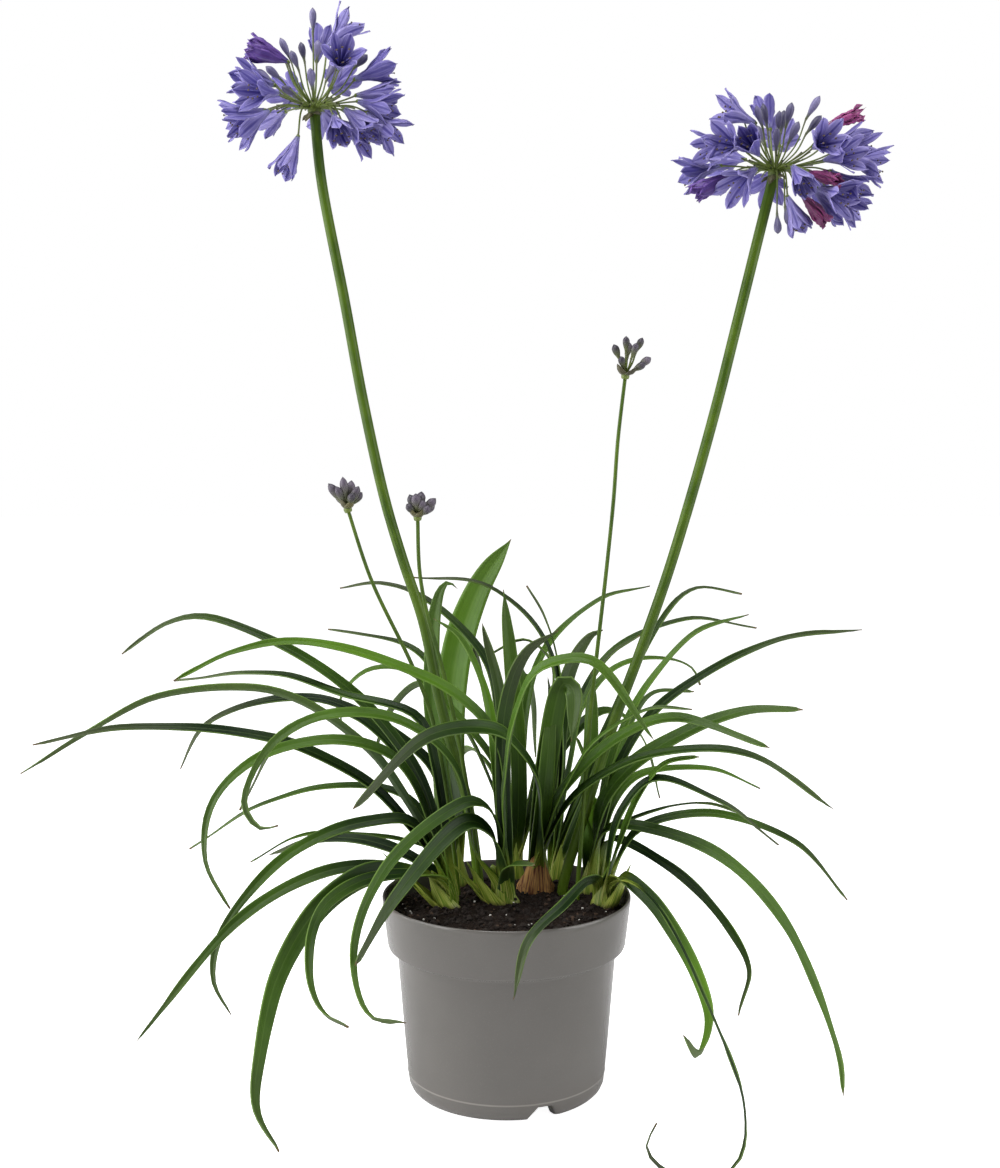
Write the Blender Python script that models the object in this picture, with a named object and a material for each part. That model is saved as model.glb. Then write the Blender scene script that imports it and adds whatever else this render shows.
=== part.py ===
"""Agapanthus in a round nursery pot: leafy shoots, flower stems, two open umbels and three bud heads.

Metres, +Z up. The origin is the middle of the pot's foot, on the surface that the pot stands on.
+X is the plant's right side and -Y its front. Routes of leaves and stems are given in millimetres.
"""

import itertools
import math

import bmesh
import bpy
from mathutils import Matrix, Vector
from mathutils.noise import noise

MM = 0.001
GAP = 0.0003

POT_HEIGHT = 0.151
RIM_RADIUS = 0.095
BAND_HEIGHT = 0.0375
BAND_LOW_RADIUS = 0.0909
BODY_TOP_RADIUS = 0.084
BASE_RADIUS = 0.0749
WALL = 0.0016
FOOT_CORNER = 0.006
SEAM_HEIGHT = 0.013
SEAM_PROUD = 0.0004
FLOOR_RAISE = 0.004
FLOOR_THICK = 0.002
FOOT_RING_INNER = 0.064
FOOT_DISC_RADIUS = 0.020
DRAIN_RADIUS = 0.005
DRAIN_CIRCLE = 0.042
DRAIN_COUNT = 6
DRAIN_SIDES = 8
NOTCH_WIDTH = 0.026
NOTCH_HEIGHT = 0.010
NOTCH_ANGLES = (-68, 52, 172)
POT_SIDES = 28

SOIL_TOP = 0.139
SOIL_EDGE_DROP = 0.004
HOLE_DEPTH = 0.026
STEM_SINK = 0.025
LEAF_ROOT_RISE = 0.010
LEAF_ROOT_STEP = 0.0011
LEAF_ROOT_OUT = 0.0023

LEAF_STATIONS = 7
SHORT_LEAF_STATIONS = 5
LEAF_THICKNESS = 0.0017
LEAF_CHANNEL = 0.14
LEAF_TAPER_FROM = 0.62

FLORET_LENGTH = 0.034
FLORET_WALL = 0.0008
PEDICEL_RADIUS = 0.0011

# How near two points of a joined solid may lie before they are merged, tried in turn.
MERGES = (0.00002, 0.000004, 0.0)

# Where each shoot stands in the soil, and its radii along X and Y at the foot.
SHOOTS = {
    "front_left": ((-0.042, 0.004), (0.011, 0.010)),
    "back_left": ((-0.040, 0.060), (0.010, 0.009)),
    "front_middle": ((0.000, 0.012), (0.012, 0.009)),
    "middle": ((0.023, 0.044), (0.0105, 0.0088)),
    "back_right": ((0.038, 0.066), (0.009, 0.008)),
    "right": ((0.066, 0.038), (0.010, 0.009)),
    "front_right": ((0.074, 0.006), (0.009, 0.009)),
    "back": ((0.008, 0.077), (0.008, 0.008)),
}
CORE_HEIGHT = {"front_left": 0.046, "front_middle": 0.050, "middle": 0.046}
CORE_HEIGHT_OTHER = 0.036

# Each leaf: width in mm, roll in degrees about its own line, and the points it passes, root to tip.
LEAVES = {
    "front_left": [
        (10, -55, [(-67, 7, 241), (-129, 11, 315), (-227, 16, 362), (-258, 18, 358), (-295, 20, 333)]),
        (9, -25, [(-54, -11, 255), (-67, -13, 291), (-119, 2, 304), (-179, 33, 316), (-270, 94, 300)]),
        (10, 50, [(-101, -2, 260), (-168, -6, 307), (-207, -9, 312), (-264, -12, 305), (-364, -20, 249)]),
        (10, -45, [(-95, -9, 231), (-149, -20, 267), (-197, -29, 282), (-282, -46, 289), (-343, -60, 279)]),
        (10, -45, [(-75, -13, 249), (-92, -18, 266), (-135, -27, 276), (-185, -39, 264), (-215, -49, 235),
                   (-220, -60, 193), (-201, -70, 160)]),
        (10, -50, [(-72, -9, 209), (-103, -18, 212), (-142, -29, 202), (-173, -40, 183), (-209, -59, 139),
                   (-214, -70, 107), (-200, -80, 84)]),
        (10, -50, [(-72, 14, 175), (-112, 26, 186), (-149, 37, 183), (-189, 50, 167)]),
        (10, -50, [(-102, -18, 178), (-148, -38, 174), (-197, -65, 149), (-260, -120, 80)]),
        (18, -60, [(-99, -31, 176), (-137, -65, 159), (-162, -111, 122), (-168, -155, 86), (-167, -188, 62),
                   (-147, -220, 46)]),
        (10, -50, [(-98, -36, 174), (-130, -71, 165), (-139, -93, 149), (-137, -124, 126), (-125, -149, 112),
                   (-106, -170, 110)]),
    ],
    "back_left": [
        (10, -45, [(-50, 60, 213), (-66, 60, 245), (-135, 60, 288), (-169, 60, 292), (-213, 60, 284),
                   (-243, 60, 266), (-260, 60, 234)]),
        (9, -35, [(-81, 42, 246), (-122, 45, 282), (-151, 51, 278), (-180, 62, 258), (-218, 91, 193)]),
        (8, -25, [(-75, 72, 205), (-120, 83, 216), (-196, 101, 198), (-265, 120, 153)]),
        (15, -55, [(-59, 60, 296), (-52, 51, 377), (-45, 49, 385), (-38, 47, 380)]),
        (17, -55, [(-46, 85, 232), (-41, 101, 315), (-23, 106, 372), (4, 107, 414)]),
        (8, -25, [(-48, 97, 253), (-62, 121, 307), (-84, 132, 324), (-151, 160, 333)]),
    ],
    "front_middle": [
        (10, -55, [(-5, -5, 266), (-39, -14, 309), (-144, -37, 351), (-197, -49, 346), (-240, -60, 326)]),
        (10, -50, [(-24, 2, 184), (-38, -20, 254), (-79, -41, 294), (-135, -65, 301), (-169, -84, 282),
                   (-184, -104, 246), (-172, -113, 231), (-158, -120, 234)]),
        (10, -50, [(-10, -13, 217), (-24, -21, 228), (-44, -33, 223), (-88, -68, 190), (-108, -108, 143),
                   (-95, -140, 107), (-68, -160, 109)]),
        (14, -55, [(-11, -9, 199), (-29, -23, 213), (-79, -74, 172), (-106, -120, 135)]),
        (9, -35, [(-4, 42, 270), (-17, 58, 325), (-68, 79, 371), (-100, 89, 380), (-135, 100, 375)]),
        (9, -45, [(-8, 5, 250), (-16, 12, 306), (-36, 24, 346), (-56, 31, 359)]),
        (11, -40, [(-2, 26, 250), (-5, 29, 300), (-19, 32, 355)]),
        (13, 55, [(-1, -13, 296), (14, -23, 340), (38, -30, 358)]),
        (13, 55, [(-1, -46, 259), (16, -80, 331), (35, -89, 345), (60, -96, 346), (102, -109, 292)]),
        (9, 30, [(3, -24, 180), (20, -60, 190)]),
    ],
    "middle": [
        (15, 55, [(43, -2, 314), (50, -6, 310), (48, -20, 273)]),
        (15, -55, [(25, 6, 230), (12, -16, 264), (-8, -35, 285), (-55, -74, 289), (-105, -140, 251)]),
        (9, 35, [(61, -17, 267), (103, -38, 301), (135, -47, 303)]),
        (12, 55, [(39, 20, 219), (86, -15, 277), (124, -38, 295), (187, -80, 281)]),
        (10, 50, [(47, 13, 218), (99, -24, 262), (173, -66, 274), (229, -104, 242)]),
        (14, 55, [(30, 11, 236), (35, 13, 302)]),
        (10, 55, [(38, 30, 255), (32, 20, 315)]),
    ],
    "back_right": [
        (9, -25, [(43, 76, 277), (33, 77, 332), (-13, 75, 379), (-74, 71, 387)]),
        (16, 55, [(49, 110, 295), (69, 125, 331), (81, 130, 336)]),
        (9, 50, [(67, 108, 222), (59, 121, 247)]),
        (9, 35, [(129, 116, 349), (156, 125, 372), (196, 134, 366)]),
        (9, 30, [(62, 62, 291), (79, 61, 323), (105, 60, 342)]),
        (14, 55, [(65, 79, 216), (70, 100, 306)]),
    ],
    "right": [
        (16, 55, [(67, 61, 211), (73, 61, 183)]),
        (10, 55, [(77, 23, 235), (97, 10, 294), (140, -8, 353), (179, -20, 369)]),
        (10, 55, [(88, 34, 244), (120, 31, 292), (206, 24, 343), (272, 20, 352)]),
        (9, 45, [(83, 56, 228), (102, 74, 275), (119, 84, 292), (153, 98, 290)]),
        (16, 55, [(76, 19, 220), (107, 2, 259), (174, -30, 298), (215, -50, 303)]),
        (9, 35, [(84, 49, 209), (106, 56, 231), (166, 70, 232), (206, 80, 214)]),
        (11, 55, [(74, 24, 191), (86, 17, 200), (129, -7, 198), (167, -33, 184), (203, -71, 148),
                  (229, -139, 77), (228, -160, 57)]),
        (9, 50, [(82, 39, 183), (123, 27, 167), (152, 1, 147), (176, -66, 117), (161, -122, 100)]),
    ],
    "front_right": [
        (11, 55, [(101, -20, 236), (117, -30, 259), (141, -40, 266)]),
        (9, 30, [(86, -20, 221), (109, -25, 246), (159, -17, 228), (210, 10, 186)]),
        (9, 45, [(102, 24, 194), (159, 30, 206), (224, 11, 187), (257, -21, 152)]),
        (13, 55, [(86, -6, 166), (108, -31, 155), (131, -82, 128), (140, -129, 104), (129, -165, 89),
                  (115, -190, 112)]),
        (8, 35, [(92, -20, 166), (112, -66, 158), (139, -160, 113), (152, -218, 76), (148, -246, 46),
                 (122, -256, 22), (92, -262, 16), (78, -266, 36), (86, -270, 60)]),
        (9, 55, [(62, -38, 172), (40, -80, 166), (14, -116, 150), (4, -136, 118)]),
    ],
    "back": [
        (9, -55, [(-10, 110, 250), (-34, 140, 353)]),
        (14, 55, [(10, 68, 237), (-2, 50, 379)]),
        (9, 35, [(32, 96, 262), (39, 97, 305), (33, 98, 321), (15, 99, 333), (-14, 102, 320)]),
        (9, 30, [(26, 122, 310), (76, 145, 359), (122, 160, 370)]),
        (9, -35, [(-4, 73, 226), (-64, 73, 301), (-87, 74, 314), (-112, 75, 311), (-133, 77, 289),
                  (-133, 79, 264)]),
        (9, 30, [(56, 131, 265), (90, 154, 315), (155, 173, 340), (217, 188, 330)]),
        (9, 30, [(85, 135, 300), (134, 154, 309), (159, 164, 299), (167, 170, 283)]),
        (12, 40, [(12, 118, 240), (16, 170, 292), (24, 230, 262), (28, 262, 200)]),
        (11, 40, [(-30, 112, 250), (-70, 160, 286), (-104, 206, 250), (-118, 228, 206)]),
        (11, 40, [(40, 116, 230), (84, 166, 262), (122, 212, 228), (140, 236, 168)]),
        (10, 40, [(-8, 108, 214), (-30, 152, 232), (-52, 200, 196), (-60, 226, 150)]),
    ],
}

# Each flower stem: the radii in mm at its foot and its top, and the points it passes from the soil up.
SCAPES = {
    "left_tall": (6.6, 4.3, [(-22, 50, 139), (-31, 47, 212), (-40, 44, 245), (-52, 41, 293), (-65, 38, 357),
                             (-80, 35, 404), (-93, 32, 450), (-109, 29, 526), (-120, 26, 601),
                             (-135, 23, 689), (-142, 20, 736)]),
    "right_tall": (6.6, 4.5, [(44, 36, 139), (62, 34, 207), (75, 33, 251), (88, 31, 291), (101, 30, 327),
                              (122, 28, 389), (140, 26, 451), (158, 25, 519), (172, 23, 579),
                              (189, 22, 652), (198, 20, 691)]),
    "left_short": (2.3, 1.7, [(-38, 34, 139), (-48, 27, 233), (-59, 20, 289), (-72, 14, 325),
                              (-102, 7, 391), (-118, 0, 443)]),
    "middle_short": (2.3, 1.8, [(-20, 26, 139), (-31, 23, 230), (-40, 21, 281), (-51, 18, 329),
                                (-61, 15, 367), (-66, 13, 398), (-67, 10, 436)]),
    "right_short": (2.3, 1.7, [(55, 18, 139), (60, 18, 219), (64, 19, 282), (69, 19, 332), (76, 19, 398),
                               (81, 19, 451), (84, 20, 496), (89, 20, 542)]),
}

# Florets as (state, foot of the flower, middle of its mouth), in mm from the head of the stem.
UMBELS = {
    "left_tall": {
        "florets": [
            ("open", (12, -8, 46), (37, -14, 67)), ("open", (20, -12, 26), (26, -44, 36)),
            ("half", (31, 4, 10), (66, 8, 12)), ("open", (40, -6, -4), (66, -14, -26)),
            ("faded", (24, -16, -3), (42, -24, -20)), ("open", (16, -18, -10), (26, -44, -30)),
            ("half", (-12, -10, -24), (-25, -14, -46)), ("open", (-32, -8, -3), (-62, -16, -26)),
            ("open", (-28, -4, 11), (-62, -10, 13)), ("faded", (-38, 8, 20), (-58, 12, 27)),
            ("faded", (-18, -8, 32), (-52, -12, 48)), ("faded", (-22, 10, 36), (-56, 14, 46)),
            ("open", (10, 30, 20), (18, 60, 34)), ("open", (-14, 30, 16), (-30, 60, 22)),
            ("open", (26, 28, -4), (48, 54, -16)), ("half", (-24, 26, -6), (-46, 50, -22)),
            ("open", (2, 32, -8), (4, 60, -28)), ("half", (0, 22, 38), (2, 40, 64)),
        ],
        "buds": [(-24, -4, 50), (-10, 6, 49), (-1, -2, 65), (2, 14, 52), (-15, -14, 39), (-45, 14, 30),
                 (-33, -18, 27), (0, -22, 25), (-21, -22, 12), (39, 12, 41), (27, -2, 44), (13, 22, 37)],
    },
    "right_tall": {
        "florets": [
            ("open", (-16, -4, 34), (-41, -12, 43)), ("faded", (36, -6, 31), (60, -8, 40)),
            ("open", (26, -12, 15), (34, -42, 19)), ("open", (39, 8, 21), (67, 14, 24)),
            ("open", (50, -4, 9), (76, -12, 2)), ("open", (39, -12, -2), (63, -20, -21)),
            ("open", (39, 2, -24), (59, -2, -46)), ("half", (8, -10, -24), (16, -14, -44)),
            ("faded", (20, -4, -24), (36, -8, -46)), ("faded", (20, 6, -6), (38, 8, -14)),
            ("open", (-31, -8, 22), (-55, -16, 12)), ("open", (-40, 4, 4), (-70, 2, -4)),
            ("faded", (-35, -10, -6), (-62, -14, -24)), ("open", (-16, -14, -3), (-34, -24, -22)),
            ("half", (-15, -18, 9), (-24, -34, 16)), ("half", (10, -18, 1), (16, -34, -14)),
            ("open", (8, 30, 22), (14, 60, 36)), ("open", (-18, 30, 12), (-36, 58, 18)),
            ("open", (28, 28, 0), (50, 54, -10)), ("half", (-22, 26, -10), (-42, 48, -28)),
            ("open", (2, 32, -12), (4, 58, -32)), ("half", (0, 26, 34), (-4, 46, 58)),
        ],
        "buds": [(-35, -6, 54), (-16, -8, 46), (-9, 6, 50), (1, -10, 42), (7, 6, 45), (11, -4, 49),
                 (15, -12, 34), (32, -2, 54), (36, 12, 42), (-2, -18, 29), (-12, 20, 36),
                 (3, -19, -50), (14, 12, -44)],
    },
}

# Closed heads: tips of the buds in mm from the head of the stem, and the tips of the two bracts.
BUD_HEADS = {
    "left_short": ([(-10, 0, 24), (-4, -5, 28), (4, 4, 27), (9, -4, 20), (-3, 6, 22), (12, 3, 12)],
                   [(-13, -4, 12), (8, -8, 10)]),
    "middle_short": ([(-8, 0, 18), (-2, -7, 21), (5, 5, 20), (10, -3, 15), (14, 4, 8), (-4, 7, 16)],
                     [(-11, -5, 14), (10, -8, 8)]),
    "right_short": ([(-8, 0, 24), (0, -4, 31), (14, 3, 30), (8, -6, 24), (18, -2, 12), (3, 7, 25)],
                    [(-9, -6, 12), (12, -8, 9)]),
}


def material(name, colour, roughness):
    made = bpy.data.materials.new(name)
    made.use_nodes = True
    shader = made.node_tree.nodes["Principled BSDF"]
    shader.inputs["Base Color"].default_value = (*colour, 1.0)
    shader.inputs["Roughness"].default_value = roughness
    shader.inputs["Metallic"].default_value = 0.0
    return made


def object_from(name, bm, finish, smooth=False):
    bmesh.ops.recalc_face_normals(bm, faces=bm.faces)
    bmesh.ops.triangulate(bm, faces=bm.faces)
    mesh = bpy.data.meshes.new(name)
    bm.to_mesh(mesh)
    bm.free()
    made = bpy.data.objects.new(name, mesh)
    bpy.context.scene.collection.objects.link(made)
    made.data.materials.append(finish)
    if smooth:
        mesh.shade_smooth()
        mesh.set_sharp_from_angle(angle=math.radians(35))
    return made


def boolean(target, others, operation):
    """Joins the others to the target or cuts them from it in one step, and then removes them."""
    group = bpy.data.collections.new("pieces_of_" + target.name)
    bpy.context.scene.collection.children.link(group)
    for other in others:
        group.objects.link(other)
        bpy.context.scene.collection.objects.unlink(other)
    modifier = target.modifiers.new("join", "BOOLEAN")
    modifier.operation = operation
    modifier.operand_type = "COLLECTION"
    modifier.collection = group
    result = None
    for solver, merge in itertools.product(("MANIFOLD", "EXACT"), MERGES):
        modifier.solver = solver
        bpy.context.view_layer.update()
        graph = bpy.context.evaluated_depsgraph_get()
        result = bpy.data.meshes.new_from_object(target.evaluated_get(graph))
        if clean_body(result, merge):
            break
    target.modifiers.clear()
    target.data = result
    for other in others:
        bpy.data.objects.remove(other)
    bpy.data.collections.remove(group)


def volume_of(faces):
    total = 0.0
    for face in faces:
        a, b, c = (vertex.co for vertex in face.verts)
        total += a.dot(b.cross(c))
    return total / 6


def clean_body(mesh, merge):
    """Merges near points and leaves only the largest body, which fills any small hollow that a
    union has sealed. Says whether what is left is closed."""
    bm = bmesh.new()
    bm.from_mesh(mesh)
    if merge:
        bmesh.ops.remove_doubles(bm, verts=bm.verts, dist=merge)
        bmesh.ops.dissolve_degenerate(bm, edges=bm.edges, dist=merge / 2)
    bmesh.ops.triangulate(bm, faces=bm.faces)
    waiting = set(bm.faces)
    bodies = []
    while waiting:
        front = [waiting.pop()]
        body = list(front)
        while front:
            face = front.pop()
            for edge in face.edges:
                for other in edge.link_faces:
                    if other in waiting:
                        waiting.remove(other)
                        front.append(other)
                        body.append(other)
        bodies.append(body)
    bodies.sort(key=volume_of)
    for body in bodies[:-1]:
        bmesh.ops.delete(bm, geom=body, context="FACES")
    closed = all(len(edge.link_faces) == 2 for edge in bm.edges)
    bm.to_mesh(mesh)
    bm.free()
    return closed


def curve_through(points, count):
    """Evenly spaced points along a smooth line through the given ones."""
    knots = [Vector(p) for p in points]
    ends = [2 * knots[0] - knots[1]] + knots + [2 * knots[-1] - knots[-2]]
    fine = []
    for a, b, c, d in zip(ends, ends[1:], ends[2:], ends[3:]):
        t1 = (b - a).length ** 0.5
        t2 = t1 + (c - b).length ** 0.5
        t3 = t2 + (d - c).length ** 0.5
        for step in range(16):
            t = t1 + (t2 - t1) * step / 16
            a1 = a.lerp(b, t / t1)
            a2 = b.lerp(c, (t - t1) / (t2 - t1))
            a3 = c.lerp(d, (t - t2) / (t3 - t2))
            b1 = a1.lerp(a2, t / t2)
            b2 = a2.lerp(a3, (t - t1) / (t3 - t1))
            fine.append(b1.lerp(b2, (t - t1) / (t2 - t1)))
    fine.append(knots[-1])
    travelled = [0.0]
    for a, b in zip(fine, fine[1:]):
        travelled.append(travelled[-1] + (b - a).length)
    spaced = []
    place = 0
    for index in range(count):
        wanted = travelled[-1] * index / (count - 1)
        while place < len(fine) - 2 and travelled[place + 1] < wanted:
            place += 1
        span = travelled[place + 1] - travelled[place]
        spaced.append(fine[place].lerp(fine[place + 1], (wanted - travelled[place]) / span))
    return spaced


def tangents(line):
    along = [(b - a).normalized() for a, b in zip(line, line[1:])]
    middle = [(a + b).normalized() for a, b in zip(along, along[1:])]
    return [along[0]] + middle + [along[-1]]


def loft(bm, rings):
    """A closed solid through rings of equally many points, with all its faces split alike."""
    made = [[bm.verts.new(p) for p in ring] for ring in rings]
    sides = len(made[0])
    for low, high in zip(made, made[1:]):
        for k in range(sides):
            after = (k + 1) % sides
            bm.faces.new((low[k], low[after], high[after]))
            bm.faces.new((low[k], high[after], high[k]))
    bm.faces.new(list(reversed(made[0])))
    bm.faces.new(made[-1])


def round_ring(centre, across, up, radius_a, radius_b, sides):
    turn = 2 * math.pi / sides
    return [centre + across * radius_a * math.cos(k * turn) + up * radius_b * math.sin(k * turn)
            for k in range(sides)]


def side_axes(direction):
    """Two directions square to the given one, the first kept level where it can be."""
    across = Vector((0, 0, 1)).cross(direction)
    if across.length < 0.05:
        across = Vector((1, 0, 0)) - direction * direction.x
    across.normalize()
    return across, direction.cross(across)


def pot_profile():
    """The pot's wall in section, from the middle of the foot out, up the outside and down the inside."""
    band_low = POT_HEIGHT - BAND_HEIGHT
    corner = FOOT_CORNER
    seam = SEAM_HEIGHT

    def side(z):
        return BASE_RADIUS + (BODY_TOP_RADIUS - BASE_RADIUS) * z / band_low

    return [
        (0, 0), (FOOT_DISC_RADIUS, 0), (FOOT_DISC_RADIUS + 0.004, FLOOR_RAISE),
        (FOOT_RING_INNER - 0.003, FLOOR_RAISE), (FOOT_RING_INNER, 0), (side(0) - corner, 0),
        (side(0) - corner * 0.3, corner * 0.3), (side(corner), corner), (side(seam), seam),
        (side(seam) + SEAM_PROUD, seam + 0.001), (side(seam), seam + 0.002),
        (side(band_low) - 0.0004, band_low - 0.0045), (BAND_LOW_RADIUS - 0.0009, band_low - 0.0015),
        (BAND_LOW_RADIUS, band_low), (RIM_RADIUS, POT_HEIGHT - 0.005), (RIM_RADIUS, POT_HEIGHT - 0.001),
        (RIM_RADIUS - 0.0008, POT_HEIGHT), (RIM_RADIUS - WALL, POT_HEIGHT - 0.0006),
        (BAND_LOW_RADIUS - WALL, band_low + 0.0015), (side(band_low) - WALL, band_low - 0.0015),
        (side(FLOOR_RAISE + FLOOR_THICK + 0.003) - WALL, 0.009),
        (FOOT_RING_INNER, FLOOR_RAISE + FLOOR_THICK), (0, FLOOR_RAISE + FLOOR_THICK),
    ]


def turned(profile, sides):
    """A solid of revolution about Z from points (radius, height) whose ends lie on the axis."""
    bm = bmesh.new()
    points = [bm.verts.new((radius, 0, z)) for radius, z in profile]
    edges = [bm.edges.new(pair) for pair in zip(points, points[1:])]
    bmesh.ops.spin(bm, geom=points + edges, cent=(0, 0, 0), axis=(0, 0, 1), angle=2 * math.pi, steps=sides,
                   use_merge=True)
    bmesh.ops.remove_doubles(bm, verts=bm.verts, dist=0.00001)
    return bm


def cylinder(name, centre, radius, low, high, finish, sides=12):
    bm = bmesh.new()
    loft(bm, [foot_section(centre, (radius, radius), z, sides) for z in (low, high)])
    return object_from(name, bm, finish)


def foot_notch(angle, finish):
    """A cutter with an arched top that goes through the pot's wall at the foot."""
    bm = bmesh.new()
    half = NOTCH_WIDTH / 2
    outline = [(half, -0.002)]
    for step in range(7):
        turn = math.pi * step / 6
        outline.append((half * math.cos(turn), NOTCH_HEIGHT * 0.45 + NOTCH_HEIGHT * 0.55 * math.sin(turn)))
    outline.append((-half, -0.002))
    reach = (BASE_RADIUS - 0.0045, BASE_RADIUS + 0.01)
    loft(bm, [[Vector((radius, y, z)) for y, z in outline] for radius in reach])
    bmesh.ops.transform(bm, matrix=Matrix.Rotation(math.radians(angle), 4, "Z"), verts=bm.verts)
    return object_from("notch", bm, finish)


def make_pot(finish):
    pot = object_from("nursery_pot", turned(pot_profile(), POT_SIDES), finish, smooth=True)
    cutters = [foot_notch(angle, finish) for angle in NOTCH_ANGLES]
    for index in range(DRAIN_COUNT):
        turn = 2 * math.pi * (index + 0.5) / DRAIN_COUNT
        centre = (DRAIN_CIRCLE * math.cos(turn), DRAIN_CIRCLE * math.sin(turn))
        cutters.append(cylinder("drain", centre, DRAIN_RADIUS, -0.002, 0.012, finish,
                                DRAIN_SIDES))
    boolean(pot, cutters, "DIFFERENCE")
    return pot


def soil_profile():
    band_low = POT_HEIGHT - BAND_HEIGHT
    inside = WALL + GAP
    floor = FLOOR_RAISE + FLOOR_THICK + GAP
    slope = (RIM_RADIUS - BAND_LOW_RADIUS) / BAND_HEIGHT
    edge = SOIL_TOP - SOIL_EDGE_DROP
    edge_radius = BAND_LOW_RADIUS + slope * (edge - band_low) - inside - 0.0004
    return [
        (0, floor), (FOOT_RING_INNER - 0.001, floor), (BASE_RADIUS - inside - 0.0006, 0.0095),
        (BODY_TOP_RADIUS - inside - 0.0008, band_low - 0.0022),
        (BAND_LOW_RADIUS - inside - 0.0006, band_low + 0.0024), (edge_radius, edge),
        (0.080, SOIL_TOP - 0.001), (0.062, SOIL_TOP), (0.044, SOIL_TOP), (0.022, SOIL_TOP), (0, SOIL_TOP),
    ]


def foot_section(centre, radii, height, sides, grow=0.0):
    at = Vector((centre[0], centre[1], height))
    return round_ring(at, Vector((1, 0, 0)), Vector((0, 1, 0)), radii[0] + grow, radii[1] + grow, sides)


def make_soil(finish):
    bm = turned(soil_profile(), POT_SIDES)
    for vertex in bm.verts:
        radius = math.hypot(vertex.co.x, vertex.co.y)
        if vertex.co.z > SOIL_TOP - 0.002 and radius < 0.082:
            vertex.co.z += 0.0035 * noise(vertex.co * 60)
    soil = object_from("potting_soil", bm, finish)
    feet = [(centre, radii, 8) for centre, radii in SHOOTS.values()]
    for foot_radius, _, route in SCAPES.values():
        feet.append(((route[0][0] * MM, route[0][1] * MM), (foot_radius * MM, foot_radius * MM), 8))
    cutters = []
    for centre, radii, sides in feet:
        hole = bmesh.new()
        loft(hole, [foot_section(centre, radii, z, sides, 0.00045)
                    for z in (SOIL_TOP - HOLE_DEPTH, SOIL_TOP + 0.02)])
        cutters.append(object_from("hole", hole, finish))
    boolean(soil, cutters, "DIFFERENCE")
    return soil


def blade_width(share, width):
    grown = 0.72 + 0.28 * min(1.0, share / 0.3)
    over = max(0.0, (share - LEAF_TAPER_FROM) / (1 - LEAF_TAPER_FROM))
    return width * grown * (1 - 0.9 * over ** 1.7)


def leaf(shoot, order, width, roll, route, finish):
    """A strap leaf with a keel: its two edges are lifted over the keel that runs along its line."""
    centre = SHOOTS[shoot][0]
    root = Vector((centre[0], centre[1], SOIL_TOP + LEAF_ROOT_RISE + order * LEAF_ROOT_STEP))
    outward = Vector(route[0]) * MM - root
    outward.z = 0
    root += outward.normalized() * LEAF_ROOT_OUT
    points = [root] + [Vector(p) * MM for p in route]
    stations = SHORT_LEAF_STATIONS if len(route) < 3 else max(LEAF_STATIONS, len(route) + 3)
    line = curve_through(points, stations + 1)
    heading = points[-1] - points[0]
    heading.z = 0
    level = Vector((0, 0, 1)).cross(heading.normalized())
    rings = []
    for index, (point, along) in enumerate(zip(line, tangents(line))):
        share = index / stations
        across = (level - along * level.dot(along)).normalized()
        across = Matrix.Rotation(math.radians(roll), 3, along) @ across
        face = along.cross(across)
        half = blade_width(share, width * MM) / 2
        thick = LEAF_THICKNESS * (1.3 - 0.6 * share)
        lift = half * LEAF_CHANNEL
        rings.append([point + across * half + face * lift, point - across * half + face * lift,
                      point - face * thick])
    bm = bmesh.new()
    loft(bm, rings)
    return object_from("leaf", bm, finish)


def shoot_core(shoot, finish):
    """The swollen leaf bases of one shoot, straight below the soil and tapered above it."""
    centre, radii = SHOOTS[shoot]
    height = CORE_HEIGHT.get(shoot, CORE_HEIGHT_OTHER)
    levels = [(-STEM_SINK, 1.0), (0.004, 1.0), (0.014, 1.02), (height * 0.6, 0.82), (height, 0.42)]
    bm = bmesh.new()
    loft(bm, [foot_section(centre, (radii[0] * size, radii[1] * size), SOIL_TOP + rise, 8)
              for rise, size in levels])
    return object_from("shoot_" + shoot, bm, finish)


def make_shoot(shoot, finish):
    core = shoot_core(shoot, finish)
    leaves = [leaf(shoot, order, width, roll, route, finish)
              for order, (width, roll, route) in enumerate(LEAVES[shoot])]
    boolean(core, leaves, "UNION")
    return core


def make_scape(name, finish):
    foot, top, route = SCAPES[name]
    stations, sides = (12, 8) if foot > 4 else (8, 6)
    start = Vector(route[0]) * MM
    line = curve_through([start + Vector((0, 0, 0.006))] + [Vector(p) * MM for p in route[1:]], stations)
    radii = (foot * MM, foot * MM)
    rings = [foot_section(start, radii, SOIL_TOP + rise, sides) for rise in (-STEM_SINK, 0.003)]
    for index, (point, along) in enumerate(zip(line[1:], tangents(line)[1:])):
        radius = (foot + (top - foot) * (index + 1) / stations) * MM
        forward = (Vector((0, 1, 0)) - along * along.y).normalized()
        rings.append(round_ring(point, forward.cross(along), forward, radius, radius, sides))
    bm = bmesh.new()
    loft(bm, rings)
    return object_from("flower_stem_" + name, bm, finish, smooth=True)


def spindle(base, tip, radii, sides, finish):
    """A closed bud or similar form from base to tip, with its radii given at even steps."""
    direction = (tip - base).normalized()
    across, up = side_axes(direction)
    rings = []
    for index, radius in enumerate(radii):
        at = base.lerp(tip, index / (len(radii) - 1))
        rings.append(round_ring(at, across, up, radius, radius, sides))
    bm = bmesh.new()
    loft(bm, rings)
    return object_from("bud", bm, finish)


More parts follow.
